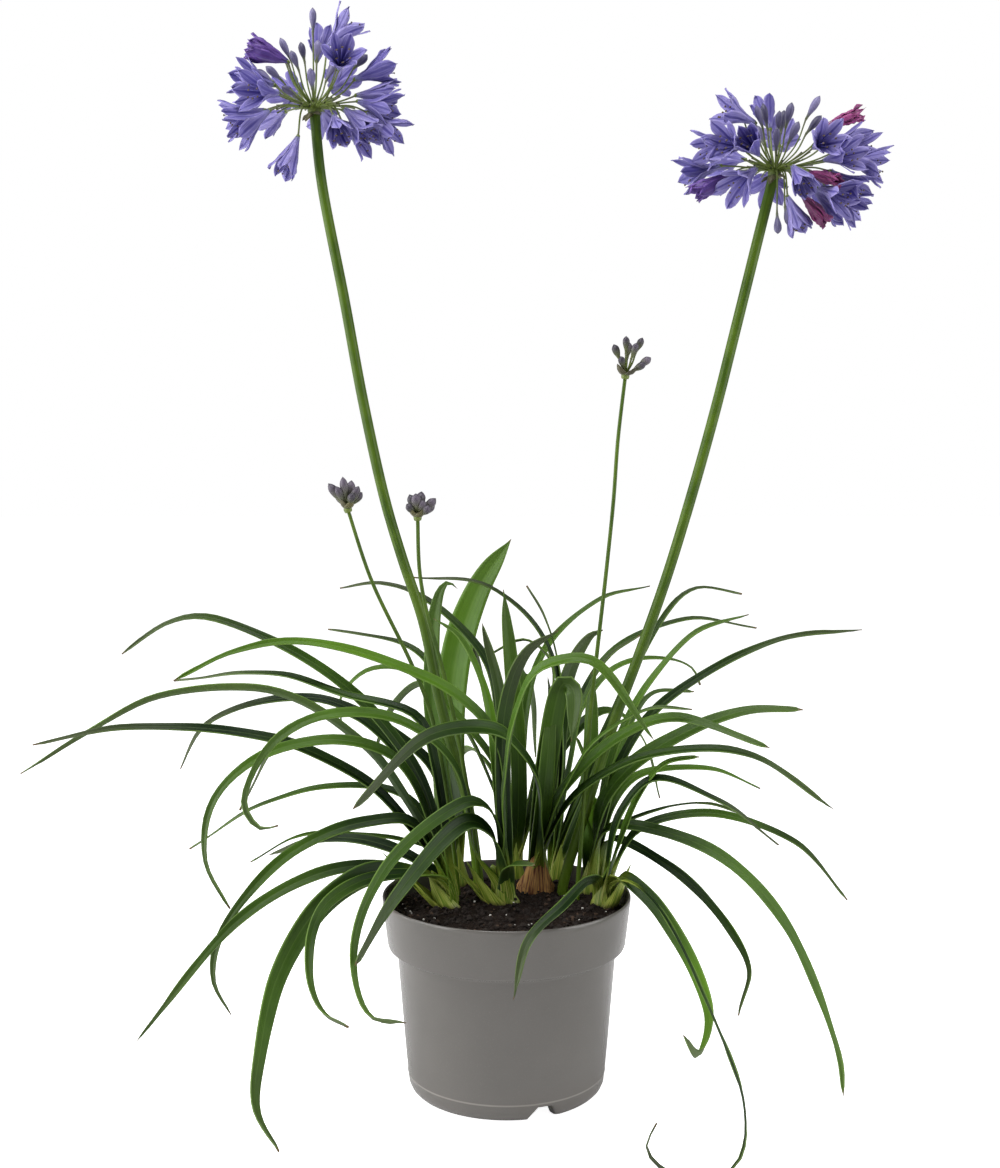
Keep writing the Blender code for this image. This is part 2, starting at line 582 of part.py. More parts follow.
def pedicel(end, finish):
    """The thin stalk from the head of the stem to the foot of a flower: out first, then up or down."""
    rise = 0.46 if end.z > 0 else 0.10
    middle = Vector((end.x * 0.68, end.y * 0.68, end.z * rise + 0.0015))
    start = end.normalized() * 0.0015
    line = [start, middle, end]
    rings = []
    for point, along in zip(line, tangents(line)):
        across, up = side_axes(along)
        rings.append(round_ring(point, across, up, PEDICEL_RADIUS, PEDICEL_RADIUS, 3))
    bm = bmesh.new()
    loft(bm, rings)
    return object_from("pedicel", bm, finish)


def floret(state, foot, mouth, finish):
    """A trumpet of six tepals: a tube that opens into six pointed lobes, with a real wall."""
    direction = (mouth - foot).normalized()
    across, up = side_axes(direction)
    start = foot - direction * 0.002
    if state == "faded":
        return spindle(start, foot + direction * FLORET_LENGTH * 0.85,
                       (0.0012, 0.0040, 0.0052, 0.0022), 5, finish)
    spread = 0.0175 if state == "open" else 0.0105
    reach = FLORET_LENGTH * (0.93 if state == "open" else 1.05)
    throat = start + direction * FLORET_LENGTH * 0.40

    def lobes(offset, tip_radius, notch_radius, tip_reach, notch_reach):
        ring = []
        for k in range(12):
            radius, far = (tip_radius, tip_reach) if k % 2 == 0 else (notch_radius, notch_reach)
            angle = math.pi * k / 6
            out = across * math.cos(angle) + up * math.sin(angle)
            ring.append(foot + direction * (far + offset) + out * radius)
        return ring

    bm = bmesh.new()
    outer = [[start] * 12, lobes(0, spread, spread * 0.55, reach, reach * 0.74)]
    inner = [lobes(FLORET_WALL * 1.4, spread - 0.001, spread * 0.55 - 0.001, reach, reach * 0.74),
             [throat] * 12]
    loft(bm, outer + inner)
    bmesh.ops.remove_doubles(bm, verts=bm.verts, dist=0.000001)
    return object_from("floret", bm, finish)


def place_head(pieces, name, scape, knob, finish):
    """Joins a head's pieces round its knob, which stands face to face on the end of its stem."""
    route = SCAPES[scape][2]
    end = Vector(route[-1]) * MM
    along = (end - Vector(route[-2]) * MM).normalized()
    low = -knob * 0.9
    bm = bmesh.new()
    loft(bm, [round_ring(Vector((0, 0, z)), Vector((1, 0, 0)), Vector((0, 1, 0)), knob * size, knob * size, 8)
              for z, size in ((low, 0.8), (-knob * 0.2, 1.0), (knob * 0.7, 0.75), (knob * 1.1, 0.3))])
    turn = Vector((0, 0, 1)).rotation_difference(along).to_matrix().to_4x4()
    bmesh.ops.transform(bm, matrix=turn, verts=bm.verts)
    core = object_from(name, bm, finish)
    boolean(core, pieces, "UNION")
    core.data.transform(Matrix.Translation(end + along * (GAP - low)))
    return core


def make_umbel(scape, flowers, finish):
    pieces = []
    for state, foot, mouth in flowers["florets"]:
        foot_point = Vector(foot) * MM
        pieces.append(pedicel(foot_point, finish))
        pieces.append(floret(state, foot_point, Vector(mouth) * MM, finish))
    for tip in flowers["buds"]:
        tip_point = Vector(tip) * MM
        base = tip_point - tip_point.normalized() * 0.018
        pieces.append(pedicel(base + tip_point.normalized() * 0.001, finish))
        pieces.append(spindle(base, tip_point, (0.0013, 0.0031, 0.0031, 0.0007), 4, finish))
    knob = 0.0048
    return place_head(pieces, "umbel_" + scape, scape, knob, finish)


def make_bud_head(scape, tips, bracts, finish):
    pieces = []
    for tip in tips:
        tip_point = Vector(tip) * MM
        base = tip_point.normalized() * 0.001
        pieces.append(spindle(base, tip_point, (0.0012, 0.0030, 0.0033, 0.0007), 5, finish))
    for tip in bracts:
        tip_point = Vector(tip) * MM
        base = tip_point.normalized() * 0.001
        pieces.append(spindle(base, tip_point, (0.0030, 0.0052, 0.0034, 0.0006), 4, finish))
    knob = 0.0030
    return place_head(pieces, "bud_head_" + scape, scape, knob, finish)


def main():
    for existing in list(bpy.data.objects):
        bpy.data.objects.remove(existing)
    plastic = material("pot_plastic", (0.28, 0.26, 0.24), 0.5)
    earth = material("soil", (0.03, 0.02, 0.015), 0.95)
    green = material("leaf", (0.07, 0.16, 0.03), 0.45)
    stem_green = material("flower_stem", (0.11, 0.21, 0.05), 0.5)
    violet = material("flower", (0.19, 0.17, 0.55), 0.55)
    bud_grey = material("bud", (0.14, 0.13, 0.20), 0.55)
    make_pot(plastic)
    make_soil(earth)
    for shoot in SHOOTS:
        make_shoot(shoot, green)
    for scape in SCAPES:
        make_scape(scape, stem_green)
    for scape, flowers in UMBELS.items():
        make_umbel(scape, flowers, violet)
    for scape, (tips, bracts) in BUD_HEADS.items():
        make_bud_head(scape, tips, bracts, bud_grey)


main()
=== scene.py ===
"""Looks of the potted agapanthus: finer leaves, flowers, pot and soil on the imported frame.

Metres, +Z up. Routes of leaves and stems, and offsets of flowers, are in millimetres.
"""

import math
import random

import bmesh
import bpy
from mathutils import Matrix, Vector
from mathutils.noise import noise


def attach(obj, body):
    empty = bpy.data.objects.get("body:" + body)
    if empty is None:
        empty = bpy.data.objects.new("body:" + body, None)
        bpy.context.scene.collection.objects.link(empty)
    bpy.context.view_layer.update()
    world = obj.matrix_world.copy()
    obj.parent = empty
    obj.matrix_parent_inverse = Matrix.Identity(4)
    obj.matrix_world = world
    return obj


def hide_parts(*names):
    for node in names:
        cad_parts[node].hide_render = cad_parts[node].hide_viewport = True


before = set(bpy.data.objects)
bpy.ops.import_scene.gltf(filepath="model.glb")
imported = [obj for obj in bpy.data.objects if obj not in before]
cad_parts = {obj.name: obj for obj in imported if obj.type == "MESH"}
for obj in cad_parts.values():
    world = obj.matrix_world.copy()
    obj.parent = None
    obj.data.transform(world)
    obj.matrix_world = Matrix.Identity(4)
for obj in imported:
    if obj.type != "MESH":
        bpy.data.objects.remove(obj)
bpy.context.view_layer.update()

DICE = random.Random(7)
MM = 0.001
TURN = 2 * math.pi
UP = Vector((0, 0, 1))

# The photograph's camera: place, tilt down and focal length in pixels of its 1168-pixel height.
CAMERA_PLACE = (-0.005, -1.268, 0.532)
CAMERA_TILT = 6.43
FOCAL_PIXELS = 1700
PICTURE_HEIGHT = 1168
SENSOR = 36.0

# Light: softboxes aimed at one point, each as (name, place, width and height, power), and an even fill.
LIGHT_TARGET = (0, 0, 0.35)
SOFTBOXES = (
    ("left_softbox", (-1.55, -0.30, 0.75), (1.9, 1.6), 40),
    ("right_softbox", (1.45, -0.40, 0.7), (1.2, 1.4), 17),
    ("top_softbox", (-0.2, -0.5, 2.1), (0.8, 0.8), 26),
)
AMBIENT = 0.14
WHITE = (1.0, 1.0, 1.0)
FLOOR_HALF = 6.0
FLOOR_GLOW_AROUND = 0.10
FLOOR_GLOW_SEEN = 0.95

# Level of the soil, and the swollen ends of the stems: the frame's own radii, then the ones drawn here.
SOIL_TOP = 0.139
UMBEL_KNOB = 0.0048
BUD_KNOB = 0.0030
UMBEL_KNOB_DRAWN = 0.0050
BUD_KNOB_DRAWN = 0.0031

# Where each shoot stands in the soil, and its radii along X and Y at the foot.
SHOOTS = {
    "front_left": ((-0.042, 0.004), (0.011, 0.010)),
    "back_left": ((-0.040, 0.060), (0.010, 0.009)),
    "front_middle": ((0.000, 0.012), (0.012, 0.009)),
    "middle": ((0.023, 0.044), (0.0105, 0.0088)),
    "back_right": ((0.038, 0.066), (0.009, 0.008)),
    "right": ((0.066, 0.038), (0.010, 0.009)),
    "front_right": ((0.074, 0.006), (0.009, 0.009)),
    "back": ((0.008, 0.077), (0.008, 0.008)),
}
CORE_HEIGHT = {"front_left": 0.046, "front_middle": 0.050, "middle": 0.046}
CORE_HEIGHT_OTHER = 0.036
CORE_SHARE = 0.62
CORE_DEPTH = 0.012
CORE_SIDES = 36
CORE_ROWS = 18
CORE_TONE = 0.8

# How far each shoot's foot leans to the side, for each metre that it rises.
SHOOT_LEAN = {
    "front_left": -0.55,
    "front_middle": -0.35,
    "front_right": 0.25,
    "right": 0.15,
}

# Leaves are drawn a little narrower than their widths below: broad ones, those on the left, and the rest.
BROAD_WIDTH = 12
BROAD_DRAWN = 0.92
LEFT_DRAWN = 0.90
OTHER_DRAWN = 0.78
LEFT_SIDE = ("front_left", "back_left", "front_middle")
LEAF_ROWS = 48
LEAF_COLUMNS = 8
LEAF_WALL = 0.0010

# A leaf's root: how deep it stands, how far out from its shoot's middle, and the neck that it rises to.
# Leaves whose route starts below the lower of two heights spread outwards, and those above the other don't.
ROOT_DEPTH = 0.006
ROOT_OUT = 0.16
ROOT_OUT_SPREADING = 0.42
SPREADING_HEIGHTS = (0.175, 0.26)
NECK_OUT = 0.003
NECK_RISE = 0.015
NECK_STEP = 0.0007

# A leaf's foot wraps its shoot: its width by the shoot's and by the leaf's, where it ends, and its curl.
FOOT_OF_SHOOT = 0.64
FOOT_OF_LEAF = 0.85
FOOT_ENDS = (0.006, 0.062)
FOOT_CURL = 0.62
ROLL_GROWS = (0.015, 0.085)

# A leaf's blade, in shares of its length and width, then its waves and keel in metres.
ROOT_WIDTH = 0.74
FULL_WIDTH_AT = 0.28
TAPER_FROM = 0.40
TAPER = 0.80
BLADE_CURL = 0.20
SWAY_DEGREES = 7
WAVE_HEIGHT = 0.0005
WAVE_PACE = 95
KEEL_DEPTH = 0.0005
KEEL_WIDTH = 0.14

# How late a leaf tapers, and where its tip starts to round off: facing leaves, and the others.
FACING_TIP = (3.8, 0.88)
ARCHING_TIP = (1.5, 0.95)

# Broad upright leaves that show their faces to the front, by their place in each shoot's list.
FACING_TURN = 18
FACING = {
    "back_left": (3, 4),
    "front_middle": (6, 7),
    "middle": (0, 5, 6),
    "back_right": (1, 5),
    "right": (0,),
    "front_right": (5,),
    "back": (1,),
}

# Each leaf: width in mm, roll in degrees about its own line, and the points it passes, root to tip.
LEAVES = {
    "front_left": [
        (10, -55, [(-67, 7, 241), (-129, 11, 315), (-227, 16, 362), (-258, 18, 358), (-295, 20, 333)]),
        (9, -25, [(-54, -11, 255), (-67, -13, 291), (-119, 2, 304), (-179, 33, 316), (-270, 94, 300)]),
        (10, 50, [(-101, -2, 260), (-168, -6, 307), (-207, -9, 312), (-264, -12, 305), (-364, -20, 249)]),
        (10, -45, [(-95, -9, 231), (-149, -20, 267), (-197, -29, 282), (-282, -46, 289), (-343, -60, 279)]),
        (10, -45, [(-75, -13, 249), (-92, -18, 266), (-135, -27, 276), (-185, -39, 264), (-215, -49, 235),
                   (-220, -60, 193), (-201, -70, 160)]),
        (10, -50, [(-72, -9, 209), (-103, -18, 212), (-142, -29, 202), (-173, -40, 183), (-209, -59, 139),
                   (-214, -70, 107), (-200, -80, 84)]),
        (10, -50, [(-72, 14, 175), (-112, 26, 186), (-149, 37, 183), (-189, 50, 167)]),
        (10, -50, [(-102, -18, 178), (-148, -38, 174), (-197, -65, 149), (-260, -120, 80)]),
        (18, -60, [(-99, -31, 176), (-137, -65, 159), (-162, -111, 122), (-168, -155, 86), (-167, -188, 62),
                   (-147, -220, 46)]),
        (10, -50, [(-98, -36, 174), (-130, -71, 165), (-139, -93, 149), (-137, -124, 126), (-125, -149, 112),
                   (-106, -170, 110)]),
    ],
    "back_left": [
        (10, -45, [(-50, 60, 213), (-66, 60, 245), (-135, 60, 288), (-169, 60, 292), (-213, 60, 284),
                   (-243, 60, 266), (-260, 60, 234)]),
        (9, -35, [(-81, 42, 246), (-122, 45, 282), (-151, 51, 278), (-180, 62, 258), (-218, 91, 193)]),
        (8, -25, [(-75, 72, 205), (-120, 83, 216), (-196, 101, 198), (-265, 120, 153)]),
        (15, -55, [(-59, 60, 296), (-52, 51, 377), (-45, 49, 385), (-38, 47, 380)]),
        (29, -55, [(-46, 85, 232), (-41, 101, 315), (-23, 106, 372), (4, 107, 414)]),
        (8, -25, [(-48, 97, 253), (-62, 121, 307), (-84, 132, 324), (-151, 160, 333)]),
        (3.5, -40, [(-58, 48, 172), (-81, 40, 182), (-111, 35, 188), (-162, 30, 188), (-200, 26, 168)]),
    ],
    "front_middle": [
        (10, -55, [(-5, -5, 266), (-39, -14, 309), (-144, -37, 351), (-197, -49, 346), (-240, -60, 326)]),
        (10, -50, [(-24, 2, 184), (-38, -20, 254), (-79, -41, 294), (-135, -65, 301), (-169, -84, 282),
                   (-184, -104, 246), (-172, -113, 231), (-158, -120, 234)]),
        (10, -50, [(-10, -13, 217), (-24, -21, 228), (-44, -33, 223), (-88, -68, 190), (-108, -108, 143),
                   (-95, -140, 107), (-68, -160, 109)]),
        (14, -55, [(-11, -9, 199), (-29, -23, 213), (-79, -74, 172), (-106, -120, 135)]),
        (9, -35, [(-4, 42, 270), (-17, 58, 325), (-68, 79, 371), (-100, 89, 380), (-135, 100, 375)]),
        (9, -45, [(-8, 5, 250), (-16, 12, 306), (-36, 24, 346), (-56, 31, 359)]),
        (11, -40, [(-2, 26, 250), (-5, 29, 300), (-19, 32, 355)]),
        (13, 55, [(-1, -13, 296), (14, -23, 340), (38, -30, 358)]),
        (13, 55, [(-1, -46, 259), (16, -80, 331), (35, -89, 345), (60, -96, 346), (102, -109, 292)]),
        (9, 30, [(3, -24, 180), (20, -60, 190)]),
    ],
    "middle": [
        (19, 55, [(43, -2, 314), (50, -6, 310), (48, -20, 273)]),
        (15, -55, [(25, 6, 230), (12, -16, 264), (-8, -35, 285), (-55, -74, 289), (-105, -140, 251)]),
        (9, 35, [(61, -17, 267), (103, -38, 301), (135, -47, 303)]),
        (12, 55, [(39, 20, 219), (86, -15, 277), (124, -38, 295), (187, -80, 281)]),
        (10, 50, [(47, 13, 218), (99, -24, 262), (173, -66, 274), (229, -104, 242)]),
        (14, 55, [(30, 11, 236), (35, 13, 302)]),
        (10, 55, [(38, 30, 255), (32, 20, 315)]),
    ],
    "back_right": [
        (9, -25, [(43, 76, 277), (33, 77, 332), (-13, 75, 379), (-74, 71, 387)]),
        (16, 55, [(49, 110, 295), (69, 125, 331), (81, 130, 336)]),
        (9, 50, [(67, 108, 222), (59, 121, 247)]),
        (9, 35, [(129, 116, 349), (156, 125, 372), (196, 134, 366)]),
        (9, 30, [(62, 62, 291), (79, 61, 323), (105, 60, 342)]),
        (14, 55, [(65, 79, 216), (70, 100, 306)]),
        (4, 35, [(46, 76, 250), (41, 80, 323), (31, 85, 354), (17, 90, 378)]),
        (3.5, 40, [(66, 56, 180), (103, 50, 198), (131, 50, 207), (159, 50, 209), (188, 50, 200)]),
    ],
    "right": [
        (17, 55, [(67, 50, 211), (73, 44, 183)]),
        (10, 55, [(77, 23, 235), (97, 10, 294), (140, -8, 353), (179, -20, 369)]),
        (10, 55, [(88, 34, 244), (120, 31, 292), (206, 24, 343), (272, 20, 352)]),
        (9, 45, [(83, 56, 228), (102, 74, 275), (119, 84, 292), (153, 98, 290)]),
        (16, 55, [(76, 19, 220), (107, 2, 259), (174, -30, 298), (215, -50, 303)]),
        (9, 35, [(84, 49, 209), (106, 56, 231), (166, 70, 232), (206, 80, 214)]),
        (11, 55, [(74, 24, 191), (86, 17, 200), (129, -7, 198), (167, -33, 184), (203, -71, 148),
                  (229, -139, 77), (228, -160, 57)]),
        (9, 50, [(82, 39, 183), (123, 27, 167), (152, 1, 147), (176, -66, 117), (161, -122, 100)]),
    ],
    "front_right": [
        (11, 55, [(101, -20, 236), (117, -30, 259), (141, -40, 266)]),
        (9, 30, [(86, -20, 221), (109, -25, 246), (159, -17, 228), (210, 10, 186)]),
        (9, 45, [(102, 24, 194), (159, 30, 206), (224, 11, 187), (257, -21, 152)]),
        (13, 55, [(86, -6, 166), (108, -31, 155), (131, -82, 128), (140, -129, 104), (129, -165, 89),
                  (115, -190, 112)]),
        (2.6, 35, [(92, -20, 166), (112, -66, 158), (139, -160, 113), (152, -218, 76), (144, -249, 52),
                   (119, -257, 45), (96, -262, 54), (85, -265, 70), (91, -266, 86)]),
        (9, 20, [(61, -32, 170), (40, -80, 166), (14, -116, 150), (4, -136, 116)]),
    ],
    "back": [
        (9, -55, [(-10, 110, 250), (-34, 140, 353)]),
        (14, 55, [(10, 68, 237), (-2, 50, 379)]),
        (9, 35, [(32, 96, 262), (39, 97, 305), (33, 98, 321), (15, 99, 333), (-14, 102, 320)]),
        (9, 30, [(26, 122, 310), (76, 145, 359), (122, 160, 370)]),
        (9, -35, [(-4, 73, 226), (-64, 73, 301), (-87, 74, 314), (-112, 75, 311), (-133, 77, 289),
                  (-133, 79, 264)]),
        (9, 30, [(56, 131, 265), (90, 154, 315), (155, 173, 340), (217, 188, 330)]),
        (9, 30, [(85, 135, 300), (134, 154, 309), (159, 164, 299), (167, 170, 283)]),
        (12, 40, [(12, 118, 240), (16, 170, 292), (24, 230, 262), (28, 262, 200)]),
        (11, 40, [(-30, 112, 250), (-70, 160, 286), (-104, 206, 250), (-118, 228, 206)]),
        (11, 40, [(40, 116, 230), (84, 166, 262), (122, 212, 228), (140, 236, 168)]),
        (10, 40, [(-8, 108, 214), (-30, 152, 232), (-52, 200, 196), (-60, 226, 150)]),
    ],
}

# Each flower stem: the radii in mm at its foot and its top, and the points it passes from the soil up.
SCAPES = {
    "left_tall": (6.6, 4.3, [(-22, 50, 139), (-31, 47, 212), (-40, 44, 245), (-52, 41, 293), (-65, 38, 357),
                             (-80, 35, 404), (-93, 32, 450), (-109, 29, 526), (-122, 26, 601),
                             (-138, 23, 689), (-142, 20, 736)]),
    "right_tall": (6.6, 4.5, [(44, 36, 139), (62, 34, 207), (75, 33, 251), (88, 31, 291), (101, 30, 327),
                              (122, 28, 389), (140, 26, 451), (158, 25, 519), (172, 23, 579),
                              (189, 22, 652), (198, 20, 691)]),
    "left_short": (2.3, 1.7, [(-38, 34, 139), (-48, 27, 233), (-59, 20, 289), (-72, 14, 325),
                              (-102, 7, 391), (-118, 0, 443)]),
    "middle_short": (2.3, 1.8, [(-20, 26, 139), (-31, 23, 230), (-40, 21, 281), (-51, 18, 329),
                                (-61, 15, 367), (-66, 13, 398), (-67, 10, 436)]),
    "right_short": (2.3, 1.7, [(55, 18, 139), (60, 18, 219), (64, 19, 282), (69, 19, 332), (76, 19, 398),
                               (81, 19, 451), (84, 20, 496), (89, 20, 542)]),
}

# Florets as (state, foot of the flower, middle of its mouth), in mm from the head of the stem.
UMBELS = {
    "left_tall": {
        "florets": [
            ("open", (11, -8, 43), (33, -14, 64)), ("open", (20, -12, 26), (26, -44, 36)),
            ("half", (31, 4, 10), (66, 8, 12)), ("open", (40, -6, -4), (66, -14, -26)),
            ("half", (24, -16, -3), (42, -24, -20)), ("half", (16, -18, -8), (24, -40, -28)),
            ("half", (-11, -10, -22), (-19, -14, -42)), ("open", (-32, -8, -3), (-62, -16, -26)),
            ("open", (-28, -4, 11), (-62, -10, 13)), ("open", (-30, 8, 18), (-60, 12, 28)),
            ("open", (30, 6, 22), (58, 10, 32)), ("open", (33, -6, 4), (66, -12, -6)),
            ("open", (-36, -4, -2), (-70, -8, -11)), ("open", (-24, -16, 8), (-46, -40, 7)),
            ("open", (22, -14, -12), (48, -28, -30)),
            ("faded", (-18, -8, 32), (-52, -12, 48)), ("faded", (-22, 10, 36), (-56, 14, 46)),
            ("open", (10, 30, 20), (18, 60, 34)), ("open", (-14, 30, 16), (-30, 60, 22)),
            ("open", (26, 28, 2), (48, 54, -4)), ("half", (-24, 26, 2), (-46, 50, -6)),
            ("open", (2, 32, 4), (4, 62, -4)), ("half", (0, 22, 38), (2, 40, 64)),
        ],
        "buds": [(-24, -4, 50), (-10, 6, 49), (0, -2, 72), (2, 14, 52), (-15, -14, 39), (-45, 14, 30),
                 (-33, -18, 27), (0, -22, 25), (-21, -22, 12), (39, 12, 41), (27, -2, 44), (13, 22, 37)],
    },
    "right_tall": {
        "florets": [
            ("open", (-16, -4, 34), (-41, -12, 43)), ("withered", (36, -6, 31), (60, -8, 40)),
            ("open", (44, 4, 14), (72, 6, 15)), ("open", (30, -14, -14), (48, -36, -24)),
            ("open", (34, -12, 6), (54, -36, 8)), ("open", (-26, -12, 15), (-46, -34, 17)),
            ("half", (28, -8, -16), (50, -14, -34)),
            ("open", (26, -12, 15), (34, -42, 19)), ("open", (39, 8, 21), (67, 14, 24)),
            ("open", (50, -4, 9), (76, -12, 2)), ("open", (39, -12, -2), (63, -20, -21)),
            ("open", (40, 2, -14), (63, -2, -30)), ("half", (8, -10, -20), (14, -14, -36)),
            ("withered", (18, -16, -20), (32, -24, -38)), ("withered", (22, -18, -4), (38, -32, -10)),
            ("open", (-31, -8, 22), (-55, -16, 12)), ("open", (-40, 4, 4), (-70, 2, -4)),
            ("faded", (-35, -10, -4), (-64, -14, -20)), ("open", (-16, -14, 0), (-32, -26, -14)),
            ("half", (-15, -18, 9), (-24, -34, 16)), ("half", (10, -18, 1), (16, -34, -14)),
            ("open", (8, 30, 22), (14, 60, 36)), ("open", (-18, 30, 12), (-36, 58, 18)),
            ("open", (28, 28, 0), (50, 54, -10)), ("half", (-22, 26, 2), (-42, 50, -6)),
            ("open", (2, 32, 2), (4, 60, -6)), ("half", (0, 26, 34), (-4, 46, 58)),
        ],
        "buds": [(-35, -6, 54), (-16, -8, 46), (-9, 6, 50), (1, -10, 42), (7, 6, 45), (11, -4, 49),
                 (15, -12, 34), (32, -2, 54), (36, 12, 42), (-2, -18, 29), (-12, 20, 36),
                 (0, -19, -48), (10, -14, -42)],
    },
}

# Closed heads: tips of the buds in mm from the head of the stem, and the tips of the two bracts.
BUD_HEADS = {
    "left_short": ([(-14, -2, 19), (-8, -5, 17), (-3, -4, 24), (3, 4, 21), (9, -4, 17), (5, -7, 12),
                    (-3, 6, 19), (-8, 3, 11), (11, 3, 12)],
                   [(-6, -5, 9), (5, -6, 8)]),
    "middle_short": ([(-6, -1, 17), (-1, -6, 18), (3, 4, 19), (-4, 5, 16), (5, -5, 13), (14, -1, 14),
                      (13, 2, 9), (-8, -4, 10), (10, -5, 8)],
                     [(-8, -5, 9), (6, -7, 7)]),
    "right_short": ([(-9, 0, 23), (0, -4, 29), (13, 3, 28), (8, -6, 24), (19, -2, 13), (3, 7, 25),
                     (15, -4, 9), (-4, -5, 14)],
                    [(-8, -6, 10), (10, -7, 7)]),
}


class Finish:
    """A node material, built by short calls that take numbers, colours or other nodes' sockets."""

    def __init__(self, name, roughness=0.5):
        self.material = bpy.data.materials.new(name)
        self.material.use_nodes = True
        self.tree = self.material.node_tree
        self.shader = self.tree.nodes["Principled BSDF"]
        self.shader.inputs["Roughness"].default_value = roughness
        self.uv_socket = None
        self.object_socket = None

    def put(self, socket, value):
        if isinstance(value, bpy.types.NodeSocket):
            self.tree.links.new(value, socket)
        elif isinstance(value, tuple) and len(value) == 3 and socket.type == "RGBA":
            socket.default_value = (*value, 1.0)
        else:
            socket.default_value = value

    def node(self, kind, inputs=(), **settings):
        made = self.tree.nodes.new("ShaderNode" + kind)
        for key, value in settings.items():
            setattr(made, key, value)
        for key, value in dict(inputs).items():
            self.put(made.inputs[key], value)
        return made

    def math(self, operation, a, b=0.0, clamp=False):
        return self.node("Math", {0: a, 1: b}, operation=operation, use_clamp=clamp).outputs[0]

    def times(self, a, b):
        return self.math("MULTIPLY", a, b)

    def plus(self, a, b, clamp=False):
        return self.math("ADD", a, b, clamp)

    def mix(self, share, a, b):
        made = self.node("Mix", data_type="RGBA")
        self.put(made.inputs[0], share)
        self.put(made.inputs[6], a)
        self.put(made.inputs[7], b)
        return made.outputs[2]

    def step(self, value, low, high):
        """0 below low, 1 above high, and smooth between them. It falls where low is above high."""
        made = self.node("MapRange", {"Value": value, "From Min": low, "From Max": high},
                         interpolation_type="SMOOTHSTEP")
        return made.outputs[0]

    def place(self):
        if not self.object_socket:
            self.object_socket = self.node("TexCoord").outputs["Object"]
        return self.object_socket

    def height(self):
        return self.node("SeparateXYZ", {0: self.place()}).outputs[2]

    def blade(self):
        if not self.uv_socket:
            self.uv_socket = self.node("UVMap", uv_map="blade").outputs[0]
        return self.uv_socket

    def across_and_along(self):
        split = self.node("SeparateXYZ", {0: self.blade()})
        return split.outputs[0], split.outputs[1]

    def tone(self):
        return self.node("Attribute", attribute_name="tone").outputs["Fac"]

    def noise(self, scale, detail=3.0):
        """Noise in space, with this many grains to the metre."""
        return self.node("TexNoise", {"Vector": self.place(), "Scale": scale, "Detail": detail}).outputs[0]

    def lines(self, across, along, detail=2.0):
        """Noise drawn out along a blade, with this many grains across it and along it."""
        vector = self.node("Mapping", {"Vector": self.blade(), "Scale": (across, along, 1)}).outputs[0]
        return self.node("TexNoise", {"Vector": vector, "Scale": 1.0, "Detail": detail}).outputs[0]

    def spread(self, value, amount):
        """A noise turned into a change either way, up to half the amount."""
        return self.times(self.math("SUBTRACT", value, 0.5), amount)

    def off_middle(self, across):
        """0 on the middle line of a blade and 0.5 at its edges."""
        return self.math("ABSOLUTE", self.math("SUBTRACT", across, 0.5))

    def colour(self, value):
        self.put(self.shader.inputs["Base Color"], value)

    def bump(self, height, strength, distance=0.001):
        made = self.node("Bump", {"Height": height, "Strength": strength, "Distance": distance})
        self.put(self.shader.inputs["Normal"], made.outputs[0])

    def set(self, **values):
        for key, value in values.items():
            self.put(self.shader.inputs[key.replace("_", " ")], value)


FOOT_GREEN = (0.095, 0.18, 0.008)
FOOT_YELLOW = (0.30, 0.37, 0.035)
CREAM = (0.54, 0.53, 0.20)
DRY_BROWN = (0.16, 0.10, 0.045)


def leaf_finish(name, dark, bright, streak_light, tip_grey, roughness):
    """A strap leaf: fine lines along it, a pale rib, a yellow-green foot with cream, a dry tip, and painted
    shade over its lower blade.
    """
    made = Finish(name, roughness)
    across, along = made.across_and_along()
    height = made.height()
    lines = made.lines(38, 1.4)
    fine = made.lines(120, 3.0)
    patches = made.noise(12.0, 3.0)
    share = made.plus(made.tone(), made.spread(patches, 0.9))
    share = made.plus(share, made.spread(lines, 0.6), clamp=True)
    body = made.mix(made.step(share, -0.02, 1.0), dark, bright)
    # Painted shade: the blade darkens towards its root, standing for the shade deep among the leaves.
    body = made.mix(made.times(made.step(along, 0.58, 0.24), 0.74), body, dark)
    off_middle = made.off_middle(across)
    rib = made.times(made.step(off_middle, 0.05, 0.01), 0.16)
    body = made.mix(rib, body, streak_light)
    edge = made.times(made.step(off_middle, 0.44, 0.49), 0.50)
    body = made.mix(edge, body, streak_light)
    dried = made.times(made.step(along, 0.62, 1.0), made.math("SUBTRACT", 0.85, made.tone()))
    body = made.mix(dried, body, tip_grey)
    near_root = made.step(along, 0.19, 0.09)
    low = made.times(made.step(height, SOIL_TOP + 0.075, SOIL_TOP + 0.018), near_root)
    body = made.mix(low, body, made.mix(made.step(lines, 0.42, 0.60), FOOT_GREEN, FOOT_YELLOW))
    cream = made.times(made.step(height, SOIL_TOP + 0.035, SOIL_TOP + 0.008), near_root)
    cream = made.times(cream, made.step(lines, 0.50, 0.62))
    body = made.mix(cream, body, CREAM)
    dry_edge = made.plus(along, made.times(patches, 0.012))
    body = made.mix(made.step(dry_edge, 0.990, 1.005), body, DRY_BROWN)
    made.colour(body)
    made.bump(made.plus(fine, made.times(lines, 0.8)), 0.22, 0.0006)
    made.set(Specular_IOR_Level=0.24)
    return made.material


def papery_finish(dark, light):
    """The dry scales round one shoot: fine brown and orange lines."""
    made = Finish("dry papery leaf base", 0.75)
    lines = made.lines(34, 2.0, 3.0)
    made.colour(made.mix(made.step(lines, 0.35, 0.65), dark, light))
    made.bump(lines, 0.5, 0.001)
    return made.material


